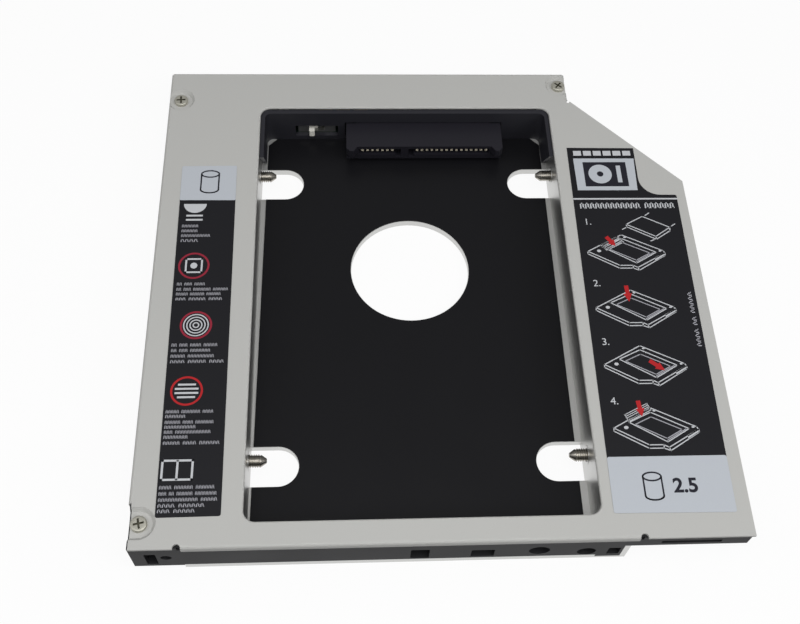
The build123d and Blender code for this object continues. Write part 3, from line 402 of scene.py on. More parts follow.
class Bench:
    """Models pieces with Blender's own tools, as by hand."""

    @staticmethod
    def clear() -> None:
        """Goes to object mode and deselects everything."""
        if bpy.context.mode != "OBJECT":
            bpy.ops.object.mode_set(mode="OBJECT")
        bpy.ops.object.select_all(action="DESELECT")

    @staticmethod
    def pick(piece: Piece) -> None:
        """Selects one piece alone and makes it the active one.

        Args:
            piece: The piece.
        """
        Bench.clear()
        piece.select_set(True)
        bpy.context.view_layer.objects.active = piece

    @staticmethod
    def rename(piece: Piece, name: str) -> Piece:
        """Names a piece and its mesh.

        Args:
            piece: The piece.
            name: Their new name.

        Returns:
            The piece.
        """
        piece.name = name
        piece.data.name = name
        return piece

    @staticmethod
    def settle(piece: Piece, name: str) -> Piece:
        """Names a piece and puts its place into its mesh.

        Args:
            piece: The piece.
            name: Its new name.

        Returns:
            The piece.
        """
        Bench.pick(piece)
        bpy.ops.object.transform_apply(location=True, rotation=True, scale=True)
        return Bench.rename(piece, name)

    @staticmethod
    def mark(piece: Piece, kind: str, test: Callable[[Part], bool]) -> None:
        """Goes to edit mode and selects some of the active piece's edges or faces.

        Args:
            piece: The piece.
            kind: EDGE or FACE.
            test: Tells which of them are selected.
        """
        bpy.ops.object.mode_set(mode="EDIT")
        bpy.ops.mesh.select_mode(type=kind)
        bpy.ops.mesh.select_all(action="DESELECT")
        mesh = bmesh.from_edit_mesh(piece.data)
        for part in mesh.edges if kind == "EDGE" else mesh.faces:
            part.select = test(part)
        bmesh.update_edit_mesh(piece.data)

    @staticmethod
    def face_outward() -> None:
        """Turns all faces of the piece in edit mode outward and goes to object mode."""
        bpy.ops.mesh.select_all(action="SELECT")
        bpy.ops.mesh.normals_make_consistent(inside=False)
        bpy.ops.object.mode_set(mode="OBJECT")

    @staticmethod
    def round_rim(piece: Piece, height: float, reach: float, segments: int) -> None:
        """Rounds the edges between the active piece's upright faces and its level face at a height.

        Args:
            piece: The piece.
            height: Height of the level face.
            reach: How far the rounding reaches from an edge.
            segments: How many segments it has.
        """
        def on_rim(edge: Edge) -> bool:
            """Tells whether an edge is one of them."""
            one, other = (abs(face.normal.z) > LEVEL for face in edge.link_faces)
            return one != other and all(abs(vert.co.z - height * MM) < SAME_HEIGHT for vert in edge.verts)
        Bench.mark(piece, "EDGE", on_rim)
        bpy.ops.mesh.bevel(offset=reach * MM, segments=segments, affect="EDGES")
        bpy.ops.object.mode_set(mode="OBJECT")

    @staticmethod
    def modify(piece: Piece, kind: str, **settings: object) -> None:
        """Adds a modifier to a piece and applies it.

        Args:
            piece: The piece.
            kind: The modifier's type.
            settings: Properties to set on it.
        """
        Bench.pick(piece)
        modifier = piece.modifiers.new(kind.lower(), kind)
        for key, value in settings.items():
            setattr(modifier, key, value)
        bpy.ops.object.modifier_apply(modifier=modifier.name)

    @staticmethod
    def slab(low: Place, high: Place, turn: float = 0.0) -> Piece:
        """Adds a box between two corners.

        Args:
            low: Its lowest corner, in millimetres on the caddy.
            high: Its highest corner.
            turn: Its turn about Z in degrees.

        Returns:
            The box.
        """
        Bench.clear()
        middle = place(*((a + b) / 2 for a, b in zip(low, high)))
        size = tuple((b - a) * MM for a, b in zip(low, high))
        bpy.ops.mesh.primitive_cube_add(
            size=1.0, location=middle, rotation=(0, 0, math.radians(turn)), scale=size)
        return Bench.settle(bpy.context.object, "slab")

    @staticmethod
    def stroke(start: Point, end: Point, width: float, low: float, high: float) -> Piece:
        """Adds a straight printed line.

        Args:
            start: Its first end, in millimetres on the caddy.
            end: Its other end.
            width: Its width.
            low: Height of its underside.
            high: Height of its top.

        Returns:
            The line.
        """
        along = Vector((end[0] - start[0], end[1] - start[1]))
        x, y = (start[0] + end[0]) / 2, (start[1] + end[1]) / 2
        half = (along.length + width) / 2
        turn = math.degrees(math.atan2(along.y, along.x))
        return Bench.slab((x - half, y - width / 2, low), (x + half, y + width / 2, high), turn)

    @staticmethod
    def disc(centre: Point, half: Point, low: float, high: float, sides: int = 48) -> Piece:
        """Adds an upright round or oval piece.

        Args:
            centre: Its middle, in millimetres on the caddy.
            half: Its half width and half length.
            low: Height of its underside.
            high: Height of its top.
            sides: How many sides it has.

        Returns:
            The piece.
        """
        Bench.clear()
        bpy.ops.mesh.primitive_cylinder_add(
            vertices=sides, radius=1.0, depth=1.0, location=place(*centre, (low + high) / 2),
            scale=(half[0] * MM, half[1] * MM, (high - low) * MM))
        return Bench.settle(bpy.context.object, "disc")

    @staticmethod
    def ring(centre: Point, half: Point, width: float, low: float, high: float, sides: int = 64) -> Piece:
        """Adds a ring by insetting a disc's level faces and bridging them.

        Args:
            centre: Its middle, in millimetres on the caddy.
            half: Its outer half width and half length.
            width: Width of its line.
            low: Height of its underside.
            high: Height of its top.
            sides: How many sides it has.

        Returns:
            The ring.
        """
        piece = Bench.disc(centre, half, low, high, sides)
        Bench.mark(piece, "FACE", lambda face: abs(face.normal.z) > LEVEL)
        bpy.ops.mesh.inset(thickness=width * MM, use_even_offset=True)
        bpy.ops.mesh.bridge_edge_loops()
        bpy.ops.object.mode_set(mode="OBJECT")
        return piece

    @staticmethod
    def outline(corners: list[Vector], inside: str) -> Piece:
        """Draws a closed outline and stays in edit mode.

        Args:
            corners: Its corners in metres in the frame.
            inside: NGON for a face inside it, else NOTHING.

        Returns:
            The outline.
        """
        Bench.clear()
        bpy.ops.mesh.primitive_circle_add(
            vertices=len(corners), radius=MM, fill_type=inside, enter_editmode=True)
        piece = bpy.context.object
        mesh = bmesh.from_edit_mesh(piece.data)
        mesh.verts.ensure_lookup_table()
        for vert, corner in zip(mesh.verts, corners):
            vert.co = corner
        bmesh.update_edit_mesh(piece.data)
        return piece

    @staticmethod
    def shape(corners: list[Point], low: float, high: float) -> Piece:
        """Adds a flat piece with a given outline.

        Args:
            corners: The outline's corners, anticlockwise, in millimetres on the caddy.
            low: Height of its underside.
            high: Height of its top.

        Returns:
            The piece.
        """
        piece = Bench.outline([place(*corner, low) for corner in corners], "NGON")
        bpy.ops.mesh.select_all(action="SELECT")
        bpy.ops.mesh.extrude_region_move(TRANSFORM_OT_translate={"value": (0, 0, (high - low) * MM)})
        Bench.face_outward()
        return Bench.settle(piece, "shape")

    @staticmethod
    def figure(text: str, left: Point, size: float, low: float, high: float, weight: float = 0.0) -> Piece:
        """Adds a plain number.

        Args:
            text: The figures.
            left: The left end of their base line, in millimetres on the caddy.
            size: Their size.
            low: Height of their underside.
            high: Height of their top.
            weight: How much heavier than plain they are drawn, in millimetres.

        Returns:
            The figures as a mesh.
        """
        Bench.clear()
        bpy.ops.object.text_add(location=place(*left, (low + high) / 2))
        curve = bpy.context.object.data
        curve.body = text
        curve.size = size * MM
        curve.extrude = (high - low) / 2 * MM
        curve.offset = weight * MM
        bpy.ops.object.convert(target="MESH")
        bpy.ops.object.mode_set(mode="EDIT")
        bpy.ops.mesh.select_all(action="SELECT")
        bpy.ops.mesh.remove_doubles(threshold=1e-7)
        Bench.face_outward()
        return Bench.settle(bpy.context.object, "figure")

    @staticmethod
    def cut(piece: Piece, cutter: Piece) -> None:
        """Cuts one piece out of another and removes it."""
        Bench.modify(piece, "BOOLEAN", operation="DIFFERENCE", solver="EXACT", object=cutter)
        bpy.data.objects.remove(cutter, do_unlink=True)

    @staticmethod
    def press_cross(head: Piece, length: float, width: float, low: float, high: float) -> None:
        """Presses a cross into a screw head that stands on the frame's middle.

        Args:
            head: The head.
            length: Length of the cross.
            width: Width of its arms.
            low: Height of the cutter's underside.
            high: Height of the cutter's top.
        """
        near = (HALF_WIDTH - length / 2, HALF_DEPTH - width / 2, low)
        far = (HALF_WIDTH + length / 2, HALF_DEPTH + width / 2, high)
        crossing = Matrix.Rotation(math.radians(90.0), 4, "Z")
        for arm in Bench.copies(Bench.slab(near, far), (Matrix(), crossing)):
            Bench.cut(head, arm)

    @staticmethod
    def row(first: Piece, count: int, step: Point) -> Piece:
        """Repeats a piece in a row.

        Args:
            first: The first one.
            count: How many there are in all.
            step: The step in millimetres along X and Y.

        Returns:
            The row as one piece.
        """
        Bench.modify(first, "ARRAY", count=count, use_relative_offset=False, use_constant_offset=True,
                     constant_offset_displace=(step[0] * MM, step[1] * MM, 0))
        return first

    @staticmethod
    def copies(first: Piece, moves: Iterable[Matrix]) -> list[Piece]:
        """Copies a piece to several places, each copy with its own mesh, and removes the first one.

        Args:
            first: The piece.
            moves: How each copy's mesh is turned and moved.

        Returns:
            The copies.
        """
        made = []
        for move in moves:
            piece = first.copy()
            piece.data = first.data.copy()
            piece.data.transform(move)
            piece.data.update()
            bpy.context.scene.collection.objects.link(piece)
            made.append(piece)
        bpy.data.objects.remove(first, do_unlink=True)
        return made

    @staticmethod
    def join(pieces: list[Piece], name: str) -> Piece:
        """Joins pieces into one.

        Args:
            pieces: The pieces.
            name: The joined piece's name.

        Returns:
            The joined piece.
        """
        Bench.pick(pieces[0])
        for piece in pieces[1:]:
            piece.select_set(True)
        if len(pieces) > 1:
            bpy.ops.object.join()
        return Bench.rename(pieces[0], name)

    @staticmethod
    def smooth(piece: Piece, sharpest: float = 35.0) -> None:
        """Smooths a piece's shading up to an angle in degrees."""
        Bench.pick(piece)
        bpy.ops.object.shade_smooth_by_angle(angle=math.radians(sharpest))


def moved(x: float, y: float, z: float, degrees: float, axis: str) -> Matrix:
    """Returns the move that turns a mesh about an axis of the frame and then puts it at a place."""
    return Matrix.Translation(place(x, y, z)) @ Matrix.Rotation(math.radians(degrees), 4, axis)


def rounded(corners: list[Point], radius: float, steps: int = 5) -> list[Point]:
    """Rounds the corners of an outline.

    Args:
        corners: The corners, anticlockwise.
        radius: How far from a corner the rounding starts.
        steps: How many points each rounding has.

    Returns:
        The rounded outline.
    """
    outline = []
    for number, corner in enumerate(corners):
        here = Vector(corner)
        start = here + (Vector(corners[number - 1]) - here).normalized() * radius
        end = here + (Vector(corners[(number + 1) % len(corners)]) - here).normalized() * radius
        for step in range(steps):
            share = step / (steps - 1)
            rest = 1 - share
            outline.append(tuple(start * rest ** 2 + here * 2 * share * rest + end * share ** 2))
    return outline


def lower_arc(centre: Point, half: Point, steps: int) -> list[Point]:
    """Returns the lower half of an oval, from left to right.

    Args:
        centre: The oval's middle.
        half: Its half width and half height.
        steps: How many straight steps stand for it.

    Returns:
        The points.
    """
    turns = [math.pi * (1 + step / steps) for step in range(steps + 1)]
    return [(centre[0] + half[0] * math.cos(turn), centre[1] + half[1] * math.sin(turn)) for turn in turns]


def coat(piece: Piece, *finishes: Finish) -> None:
    """Gives a piece its finishes in place of those it has.

    Args:
        piece: The piece.
        finishes: Its finishes in order.
    """
    piece.data.materials.clear()
    for finish in finishes:
        piece.data.materials.append(finish.material())


def hand_over(piece: Piece, body: str) -> None:
    """Gives a piece its body.

    Args:
        piece: The piece.
        body: The body that it moves with.
    """
    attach(piece, body)
    LOG.info("%s rides on %s", piece.name, body)


# Label print

@dataclass
class Print:
    """Printed shapes on one label, gathered by finish.

    Attributes:
        name: Start of the pieces' names.
        slot: The record's material slot; not used.
        base: Height of the label's surface.
        ink: Thickness of one layer of ink.
        bar: Width of a meander's line, as a share of its step or its height, whichever is less.
        letter: Width of a letter as a share of its step.
        gap: Width of the gap between words, in letters.
        layers: Shapes by finish.
    """

    name: str
    slot: str
    base: float = 12.78
    ink: float = 0.02
    bar: float = 0.26
    letter: float = 0.9
    gap: float = 0.8
    layers: dict[Finish, list[Piece]] = field(default_factory=dict)

    def heights(self, layer: int) -> Point:
        """Returns the lowest and highest point of a layer, the first being 0."""
        return self.base + (layer - 0.5) * self.ink, self.base + (layer + 1) * self.ink

    def add(self, finish: Finish, piece: Piece) -> None:
        """Keeps a printed shape with its finish."""
        self.layers.setdefault(finish, []).append(piece)

    def area(self, finish: Finish, corners: list[Point]) -> None:
        """Prints a filled outline."""
        self.add(finish, Bench.shape(corners, *self.heights(0)))

    def disc(self, finish: Finish, centre: Point, half: Point, sides: int, layer: int = 0) -> None:
        """Prints a filled oval."""
        self.add(finish, Bench.disc(centre, half, *self.heights(layer), sides))

    def ring(self, finish: Finish, centre: Point, half: Point, width: float, layer: int = 0) -> None:
        """Prints an oval line."""
        self.add(finish, Bench.ring(centre, half, width, *self.heights(layer)))

    def lines(self, finish: Finish, corners: list[Point], width: float, layer: int = 0,
              closed: bool = False) -> None:
        """Prints straight lines through corners.

        Args:
            finish: The ink.
            corners: The corners in order.
            width: The lines' width.
            layer: Which layer of ink they are.
            closed: Whether the last corner joins the first.
        """
        ends = corners[1:] + corners[:1] if closed else corners[1:]
        for start, end in zip(corners, ends):
            self.add(finish, Bench.stroke(start, end, width, *self.heights(layer)))

    def words(self, finish: Finish, start: Point, length: float, height: float, letters: tuple[int, ...],
              upright: bool = False) -> None:
        """Stands in for a line of small print with plain meanders.

        Args:
            finish: The ink.
            start: Where the line starts, at half the height.
            length: The line's length.
            height: The meanders' height.
            letters: How many letters' width each meander has.
            upright: Whether the line runs along Y and not along X.
        """
        low, high = self.heights(0)
        step = length / (sum(letters) + self.gap * (len(letters) - 1))
        bar = min(step, height) * self.bar
        half = height / 2
        strokes = ((0.0, -half, bar, half), (0.0, half - bar, step / 2 + bar, half),
                   (step / 2, -half, step / 2 + bar, half),
                   (step / 2, -half, step * self.letter, bar - half))
        along = 0.0
        for count in letters:
            cell = []
            for left, bottom, right, top in strokes:
                near, far = (along + left, bottom), (along + right, top)
                if upright:
                    near, far = (-top, along + left), (-bottom, along + right)
                cell.append(Bench.slab((start[0] + near[0], start[1] + near[1], low),
                                       (start[0] + far[0], start[1] + far[1], high)))
            move = (0.0, step) if upright else (step, 0.0)
            self.add(finish, Bench.row(Bench.join(cell, "cell"), count, move))
            along += step * (count + self.gap)

    def finish_up(self) -> None:
        """Joins the shapes of each ink and dresses them."""
        for finish, pieces in self.layers.items():
            joined = Bench.join(pieces, f"{self.name}_{finish.name.replace(' ', '_')}")
            coat(joined, finish)
            hand_over(joined, BODY)


@dataclass
class DriveSymbol:
    """The upright drum that stands for a drive.

    Attributes:
        left: Its left edge.
        right: Its right edge.
        top: The top of its upper oval.
        bottom: The bottom of its lower oval.
        oval: Height of an oval.
        width: Width of its line.
        steps: How many straight steps stand for the lower oval's near half.
    """

    left: float
    right: float
    top: float
    bottom: float
    oval: float
    width: float = 0.36
    steps: int = 10

    def draw(self, sheet: Print) -> None:
        """Draws the symbol over a pale field.

        Args:
            sheet: The label's print.
        """
        inset = self.width / 2
        half = (self.right - self.left) / 2
        middle = (self.left + self.right) / 2
        head = self.top - self.oval / 2
        foot = self.bottom + self.oval / 2
        base = lower_arc((middle, foot), (half - inset, self.oval / 2 - inset), self.steps)
        sheet.ring(PRINT_DARK, (middle, head), (half, self.oval / 2), self.width, 1)
        for x in (self.left + inset, self.right - inset):
            sheet.lines(PRINT_DARK, [(x, head), (x, foot)], self.width, 1)
        sheet.lines(PRINT_DARK, base, self.width, 1)


@dataclass
class LeftLabel:
    """The narrow label's print: a pale field, plain shapes and meanders for small print.

    Attributes:
        sheet: The label's print.
        pale_field: Corners of the pale field.
        field_round: How far from a corner the pale field's rounding starts.
        ring_half: Outer radius of a red ring.
        ring_line: Width of a red ring.
        fine_rings: Outer radii of the fine rings inside a red one.
        fine_line: Width of a fine ring.
        text_left: Where the lines of small print start.
        text_height: Height of a line of small print.
        text_rows: Place along Y, length and letters of each line of small print.
    """

    sheet: Print = field(default_factory=lambda: Print("left_label", "label_dark"))
    pale_field: tuple[Point, ...] = ((4.89, 85.45), (18.11, 85.38), (18.02, 95.77), (4.8, 95.65))
    field_round: float = 0.35
    ring_half: float = 3.58
    ring_line: float = 0.46
    fine_rings: tuple[float, ...] = (0.75, 1.45, 2.15, 2.85)
    fine_line: float = 0.28
    text_left: float = 5.95
    text_height: float = 0.8
    text_rows: tuple[tuple[float, float, tuple[int, ...]], ...] = (
        (77.95, 3.9, (6,)), (76.55, 3.8, (6,)), (75.2, 6.8, (11,)), (73.8, 4.1, (4,)),
        (61.85, 6.4, (2, 3, 4)), (60.45, 11.7, (2, 3, 7, 6)), (59.2, 10.1, (5, 6, 6)),
        (57.9, 10.5, (3, 5, 4)), (46.05, 10.1, (2, 3, 4, 5)), (44.7, 8.6, (2, 3, 7)), (43.3, 9.5, (5, 9)),
        (41.95, 11.7, (4, 5, 4)), (29.95, 10.1, (5, 7, 4)), (28.85, 4.3, (6,)), (27.5, 10.3, (6, 4, 7)),
        (26.4, 6.6, (10,)), (25.25, 9.8, (3, 12)), (24.1, 5.1, (8,)), (22.75, 11.8, (5, 4, 6)),
        (12.95, 11.3, (4, 6, 6)), (11.6, 11.8, (3, 2, 6, 8)), (10.3, 12.0, (12, 5)), (9.05, 9.5, (4, 6)),
        (7.9, 7.6, (3, 5)))

    def build(self) -> None:
        """Prints the label."""
        self.sheet.area(LABEL_PALE, rounded(list(self.pale_field), self.field_round))
        DriveSymbol(left=9.45, right=14.05, top=94.4, bottom=87.4, oval=2.3).draw(self.sheet)
        self.half_disc(x=8.68, y=84.3)
        self.square(x=9.45, y=66.8)
        self.circles(x=10.95, y=51.05)
        self.bars(x=10.0, y=34.8)
        self.panels(left=6.2, bottom=14.6, right=12.4, top=18.8)
        for y, length, letters in self.text_rows:
            self.sheet.words(PRINT_GREY, (self.text_left, y), length, self.text_height, letters)
        self.sheet.finish_up()

    def half_disc(self, x: float, y: float) -> None:
        """Prints a half disc over two bars.

        Args:
            x: The middle of its flat side along X.
            y: The place of its flat side along Y.
        """
        half, steps = (2.7, 2.6), 16
        bars, bar_left, bar_right, bar_width = (80.9, 79.7), 7.0, 10.4, 0.5
        self.sheet.area(PRINT_WHITE, lower_arc((x, y), half, steps))
        for bar in bars:
            self.sheet.lines(PRINT_WHITE, [(bar_left, bar), (bar_right, bar)], bar_width)

    def surround(self, finish: Finish, x: float, y: float, closer: float = 0.0) -> None:
        """Prints a red ring round a symbol, smaller than usual by a given width."""
        half = self.ring_half - closer
        self.sheet.ring(finish, (x, y), (half, half), self.ring_line)

    def square(self, x: float, y: float) -> None:
        """Prints a ring round a plain square and a disc.

        Args:
            x: Their middle along X.
            y: Their middle along Y.
        """
        half, line, dot, dot_sides = 1.8, 0.42, 0.8, 24
        self.surround(PRINT_DULL_RED, x, y)
        corners = [(x - half, y - half), (x + half, y - half), (x + half, y + half), (x - half, y + half)]
        self.sheet.lines(PRINT_WHITE, corners, line, 1, closed=True)
        self.sheet.disc(PRINT_WHITE, (x, y), (dot, dot), dot_sides, 1)

    def circles(self, x: float, y: float) -> None:
        """Prints a ring round finer rings.

        Args:
            x: Their middle along X.
            y: Their middle along Y.
        """
        self.surround(PRINT_DULL_RED, x, y)
        for half in self.fine_rings:
            self.sheet.ring(PRINT_WHITE, (x, y), (half, half), self.fine_line)

    def bars(self, x: float, y: float) -> None:
        """Prints a ring round four plain bars.

        Args:
            x: Their middle along X.
            y: Their middle along Y.
        """
        line, short, long = 0.45, 1.7, 2.3
        self.surround(PRINT_RED, x, y, closer=0.08)
        for step, half in ((-1.5, short), (-0.5, long), (0.5, long), (1.5, short)):
            self.sheet.lines(PRINT_WHITE, [(x - half, y + step), (x + half, y + step)], line, 1)

    def panels(self, left: float, bottom: float, right: float, top: float) -> None:
        """Prints two plain panels side by side.

        Args:
            left: Their left edge.
            bottom: Their lower edge.
            right: Their right edge.
            top: Their upper edge.
        """
        line, clear = 0.46, 0.1
        middle = (left + right) / 2
        corners = [(left, top), (right, top), (right, bottom), (left, bottom)]
        self.sheet.lines(PRINT_WHITE, corners, line, closed=True)
        self.sheet.lines(PRINT_WHITE, [(middle, top - clear), (middle, bottom + clear)], line)


@dataclass
class RightLabel:
    """The wide label's print: plain fields, figures and four outline drawings with arrows.

    Attributes:
        sheet: The label's print.
        left: Left edge of the text.
        line: Width of the drawings' lines.
        thin: Width of their inner lines.
        close: Width of an end cap's close lines.
        drops: How far each drawing stands below the first.
        figures: The base line of each drawing's number.
        figure_left: Left edge of those numbers.
        figure_size: Size of those numbers.
        arrow_half: Half the width of an arrow's shaft.
    """

    sheet: Print = field(default_factory=lambda: Print("right_label", "label_mixed"))
    left: float = 101.4
    line: float = 0.24
    thin: float = 0.216
    close: float = 0.168
    drops: tuple[float, ...] = (0.0, 15.5, 30.15, 45.5)
    figures: tuple[float, ...] = (77.6, 60.2, 44.7, 30.0)
    figure_left: float = 101.8
    figure_size: float = 2.5
    arrow_half: float = 0.5

    def build(self) -> None:
        """Prints the label."""
        self.head()
        for number, (drop, top) in enumerate(zip(self.drops, self.figures), 1):
            spot = (self.figure_left, top)
            figure = Bench.figure(f"{number}.", spot, self.figure_size, *self.sheet.heights(0))
            self.sheet.add(PRINT_WHITE, figure)
            self.drawing(drop)
        self.loose_parts()
        arrows = (((106.6, 74.0), (108.55, 71.4)), ((109.45, 60.3), (109.6, 55.9)),
                  ((111.95, 40.6), (115.1, 38.1)), ((107.85, 30.8), (108.25, 27.0)))
        for start, end in arrows:
            self.arrow(Vector(start), Vector(end))
        self.foot()
        self.sheet.finish_up()

    def head(self) -> None:
        """Prints the field at the top with a plain symbol, and the heading."""
        low, high = self.sheet.heights(0)
        thick = self.sheet.ink
        block, blocks, step = ((101.6, 98.6, low), (103.6, 100.1, high)), 6, (2.5, 0.0)
        pale_field = [(101.45, 87.85), (116.3, 87.8), (116.7, 97.65), (101.4, 97.7)]
        panel = ((103.6, 89.0, high - thick / 2), (114.4, 96.5, high + thick))
        bar = ((111.8, 90.2, high), (112.9, 95.4, high + 2 * thick))
        hub, wheel, axle = (107.6, 92.8), 2.9, 0.8
        rule, rule_width = [(100.2, 85.25), (125.6, 85.15)], 0.45
        text_base, text_length, text_height, letters = 83.2, 23.4, 1.7, (12, 6)
        self.sheet.add(PRINT_WHITE, Bench.row(Bench.slab(*block), blocks, step))
        self.sheet.area(LABEL_PALE, pale_field)
        self.sheet.add(PRINT_DARK, Bench.slab(*panel))
        self.sheet.add(LABEL_PALE, Bench.disc(hub, (wheel, wheel), high, high + 2 * thick))
        self.sheet.add(PRINT_DARK, Bench.disc(hub, (axle, axle), high + thick, high + 3 * thick))
        self.sheet.add(LABEL_PALE, Bench.slab(*bar))
        self.sheet.lines(PRINT_WHITE, rule, rule_width)
        self.sheet.words(PRINT_WHITE, (self.left, text_base), text_length, text_height, letters)

    def drawing(self, drop: float) -> None:
        """Prints an outline drawing of the caddy.

        Args:
            drop: How far the drawing stands below the first.
        """
        def down(*points: Point) -> list[Point]:
            """Returns points of the first drawing moved to this one."""
            return [(x, y - drop) for x, y in points]

        rim = down((101.7, 69.9), (110.3, 74.55), (119.75, 69.9), (120.15, 69.3), (113.05, 65.25),
                   (112.0, 65.87), (108.85, 65.89))
        foot = down((101.7, 69.9), (101.6, 69.2), (108.7, 65.1), (111.85, 65.1), (113.3, 64.5),
                    (120.15, 68.65), (120.15, 69.3))
        bay = down((105.2, 71.2), (110.2, 73.5), (118.05, 69.5), (112.95, 66.5))
        inner = down((106.5, 70.7), (110.15, 72.4), (116.5, 69.3), (112.95, 67.3))
        flap = down((117.5, 68.0), (117.5, 67.1), (120.1, 68.6), (120.1, 69.4))
        edges = (down((113.05, 65.25), (113.3, 64.5)), down((112.0, 65.87), (111.9, 65.1)))
        fold = down((112.95, 66.9), (117.3, 69.4))
        hole, *dots = down((104.4, 70.0), (111.05, 73.85), (119.0, 69.85))
        hole_half, hole_sides, dot_half, dot_sides = (0.5, 0.38), 16, (0.34, 0.2), 12
        sheet = self.sheet
        sheet.lines(PRINT_WHITE, rim, self.line, closed=True)
        for line in (foot, *edges):
            sheet.lines(PRINT_WHITE, line, self.line)
        sheet.lines(PRINT_WHITE, bay, self.line, closed=True)
        sheet.lines(PRINT_GREY, inner, self.thin, closed=True)
        sheet.lines(PRINT_GREY, fold, self.thin)
        sheet.area(PRINT_WHITE, flap)
        sheet.disc(PRINT_WHITE, hole, hole_half, hole_sides)
        for dot in dots:
            sheet.disc(PRINT_WHITE, dot, dot_half, dot_sides)

    def loose_parts(self) -> None:
        """Prints the drive over the first drawing and the two end caps."""
        left, right, near = (112.0, 77.6), (122.5, 76.65), (118.7, 74.05)
        front = (118.7, 73.2)
        self.sheet.lines(PRINT_WHITE, [left, (116.2, 79.9), right, near], self.line, closed=True)
        self.sheet.lines(PRINT_WHITE, [left, (112.0, 76.85), front, (122.4, 75.65), right], self.line)
        self.sheet.lines(PRINT_WHITE, [near, front], self.line)
        ticks = (((117.0, 80.2), (118.0, 80.9)), ((110.9, 76.15), (111.7, 76.6)),
                 ((117.3, 72.75), (118.1, 73.1)), ((123.0, 77.05), (123.85, 77.6)))
        for start, end in ticks:
            self.sheet.lines(PRINT_WHITE, [start, end], self.line)
        self.cap((105.0, 71.7), (109.3, 74.0), (1.35, -1.55))
        self.cap((104.5, 27.5), (109.7, 30.1), (0.7, -1.6))

    def cap(self, start: Point, end: Point, deep: Point) -> None:
        """Prints a loose end cap as close lines.

        Args:
            start: Left end of its far line.
            end: Right end of its far line.
            deep: How far its near line lies from its far line.
        """
        spaces = 4
        for step in range(spaces + 1):
            x, y = deep[0] * step / spaces, deep[1] * step / spaces
            line = [(start[0] + x, start[1] + y), (end[0] + x, end[1] + y)]
            self.sheet.lines(PRINT_WHITE, line, self.close)
        for corner in (start, end):
            self.sheet.lines(PRINT_WHITE, [corner, (corner[0] + deep[0], corner[1] + deep[1])], self.line)

    def arrow(self, start: Vector, end: Vector) -> None:
        """Prints a red arrow.

        Args:
            start: Its tail.
            end: Its point.
        """
        along = end - start
        way = along.normalized()
        side = Vector((-way.y, way.x)) * self.arrow_half
        neck = start + along / 2
        corners = [tuple(corner) for corner in (
            start + side, start - side, neck - side, neck - side * 2, end, neck + side * 2, neck + side)]
        self.sheet.add(PRINT_RED, Bench.shape(corners, *self.sheet.heights(1)))

    def foot(self) -> None:
        """Prints the line up the side and the pale field at the foot."""
        pale_field, field_round = [(99.26, 17.8), (99.13, 5.43), (124.91, 5.15), (125.04, 17.76)], 0.5
        text_start, text_length, text_height, letters = (124.0, 44.1), 14.4, 1.0, (4, 2, 5)
        spot, size, weight = (112.4, 9.7), 4.4, 0.12
        self.sheet.words(PRINT_GREY, text_start, text_length, text_height, letters, upright=True)
        self.sheet.area(LABEL_PALE, rounded(pale_field, field_round))
        DriveSymbol(left=106.1, right=110.35, top=14.35, bottom=7.9, oval=2.2).draw(self.sheet)
        figure = Bench.figure("2.5", spot, size, *self.sheet.heights(1), weight)
        self.sheet.add(PRINT_DARK, figure)


# Screws and nuts

WALL_SCREWS = {
    "drive_screw_left_rear": (23.2, 98.1, 1), "drive_screw_left_front": (23.2, 21.5, 1),
    "drive_screw_right_rear": (96.8, 98.1, -1), "drive_screw_right_front": (96.8, 21.5, -1)}
WALL_SCREW_Z = 5.2


def into_walls() -> dict[str, Matrix]:
    """Returns the moves that lay a mesh made along Z into the bay's walls, by side screw."""
    return {name: moved(wall, y, WALL_SCREW_Z, 90.0 * way, "Y")
            for name, (wall, y, way) in WALL_SCREWS.items()}


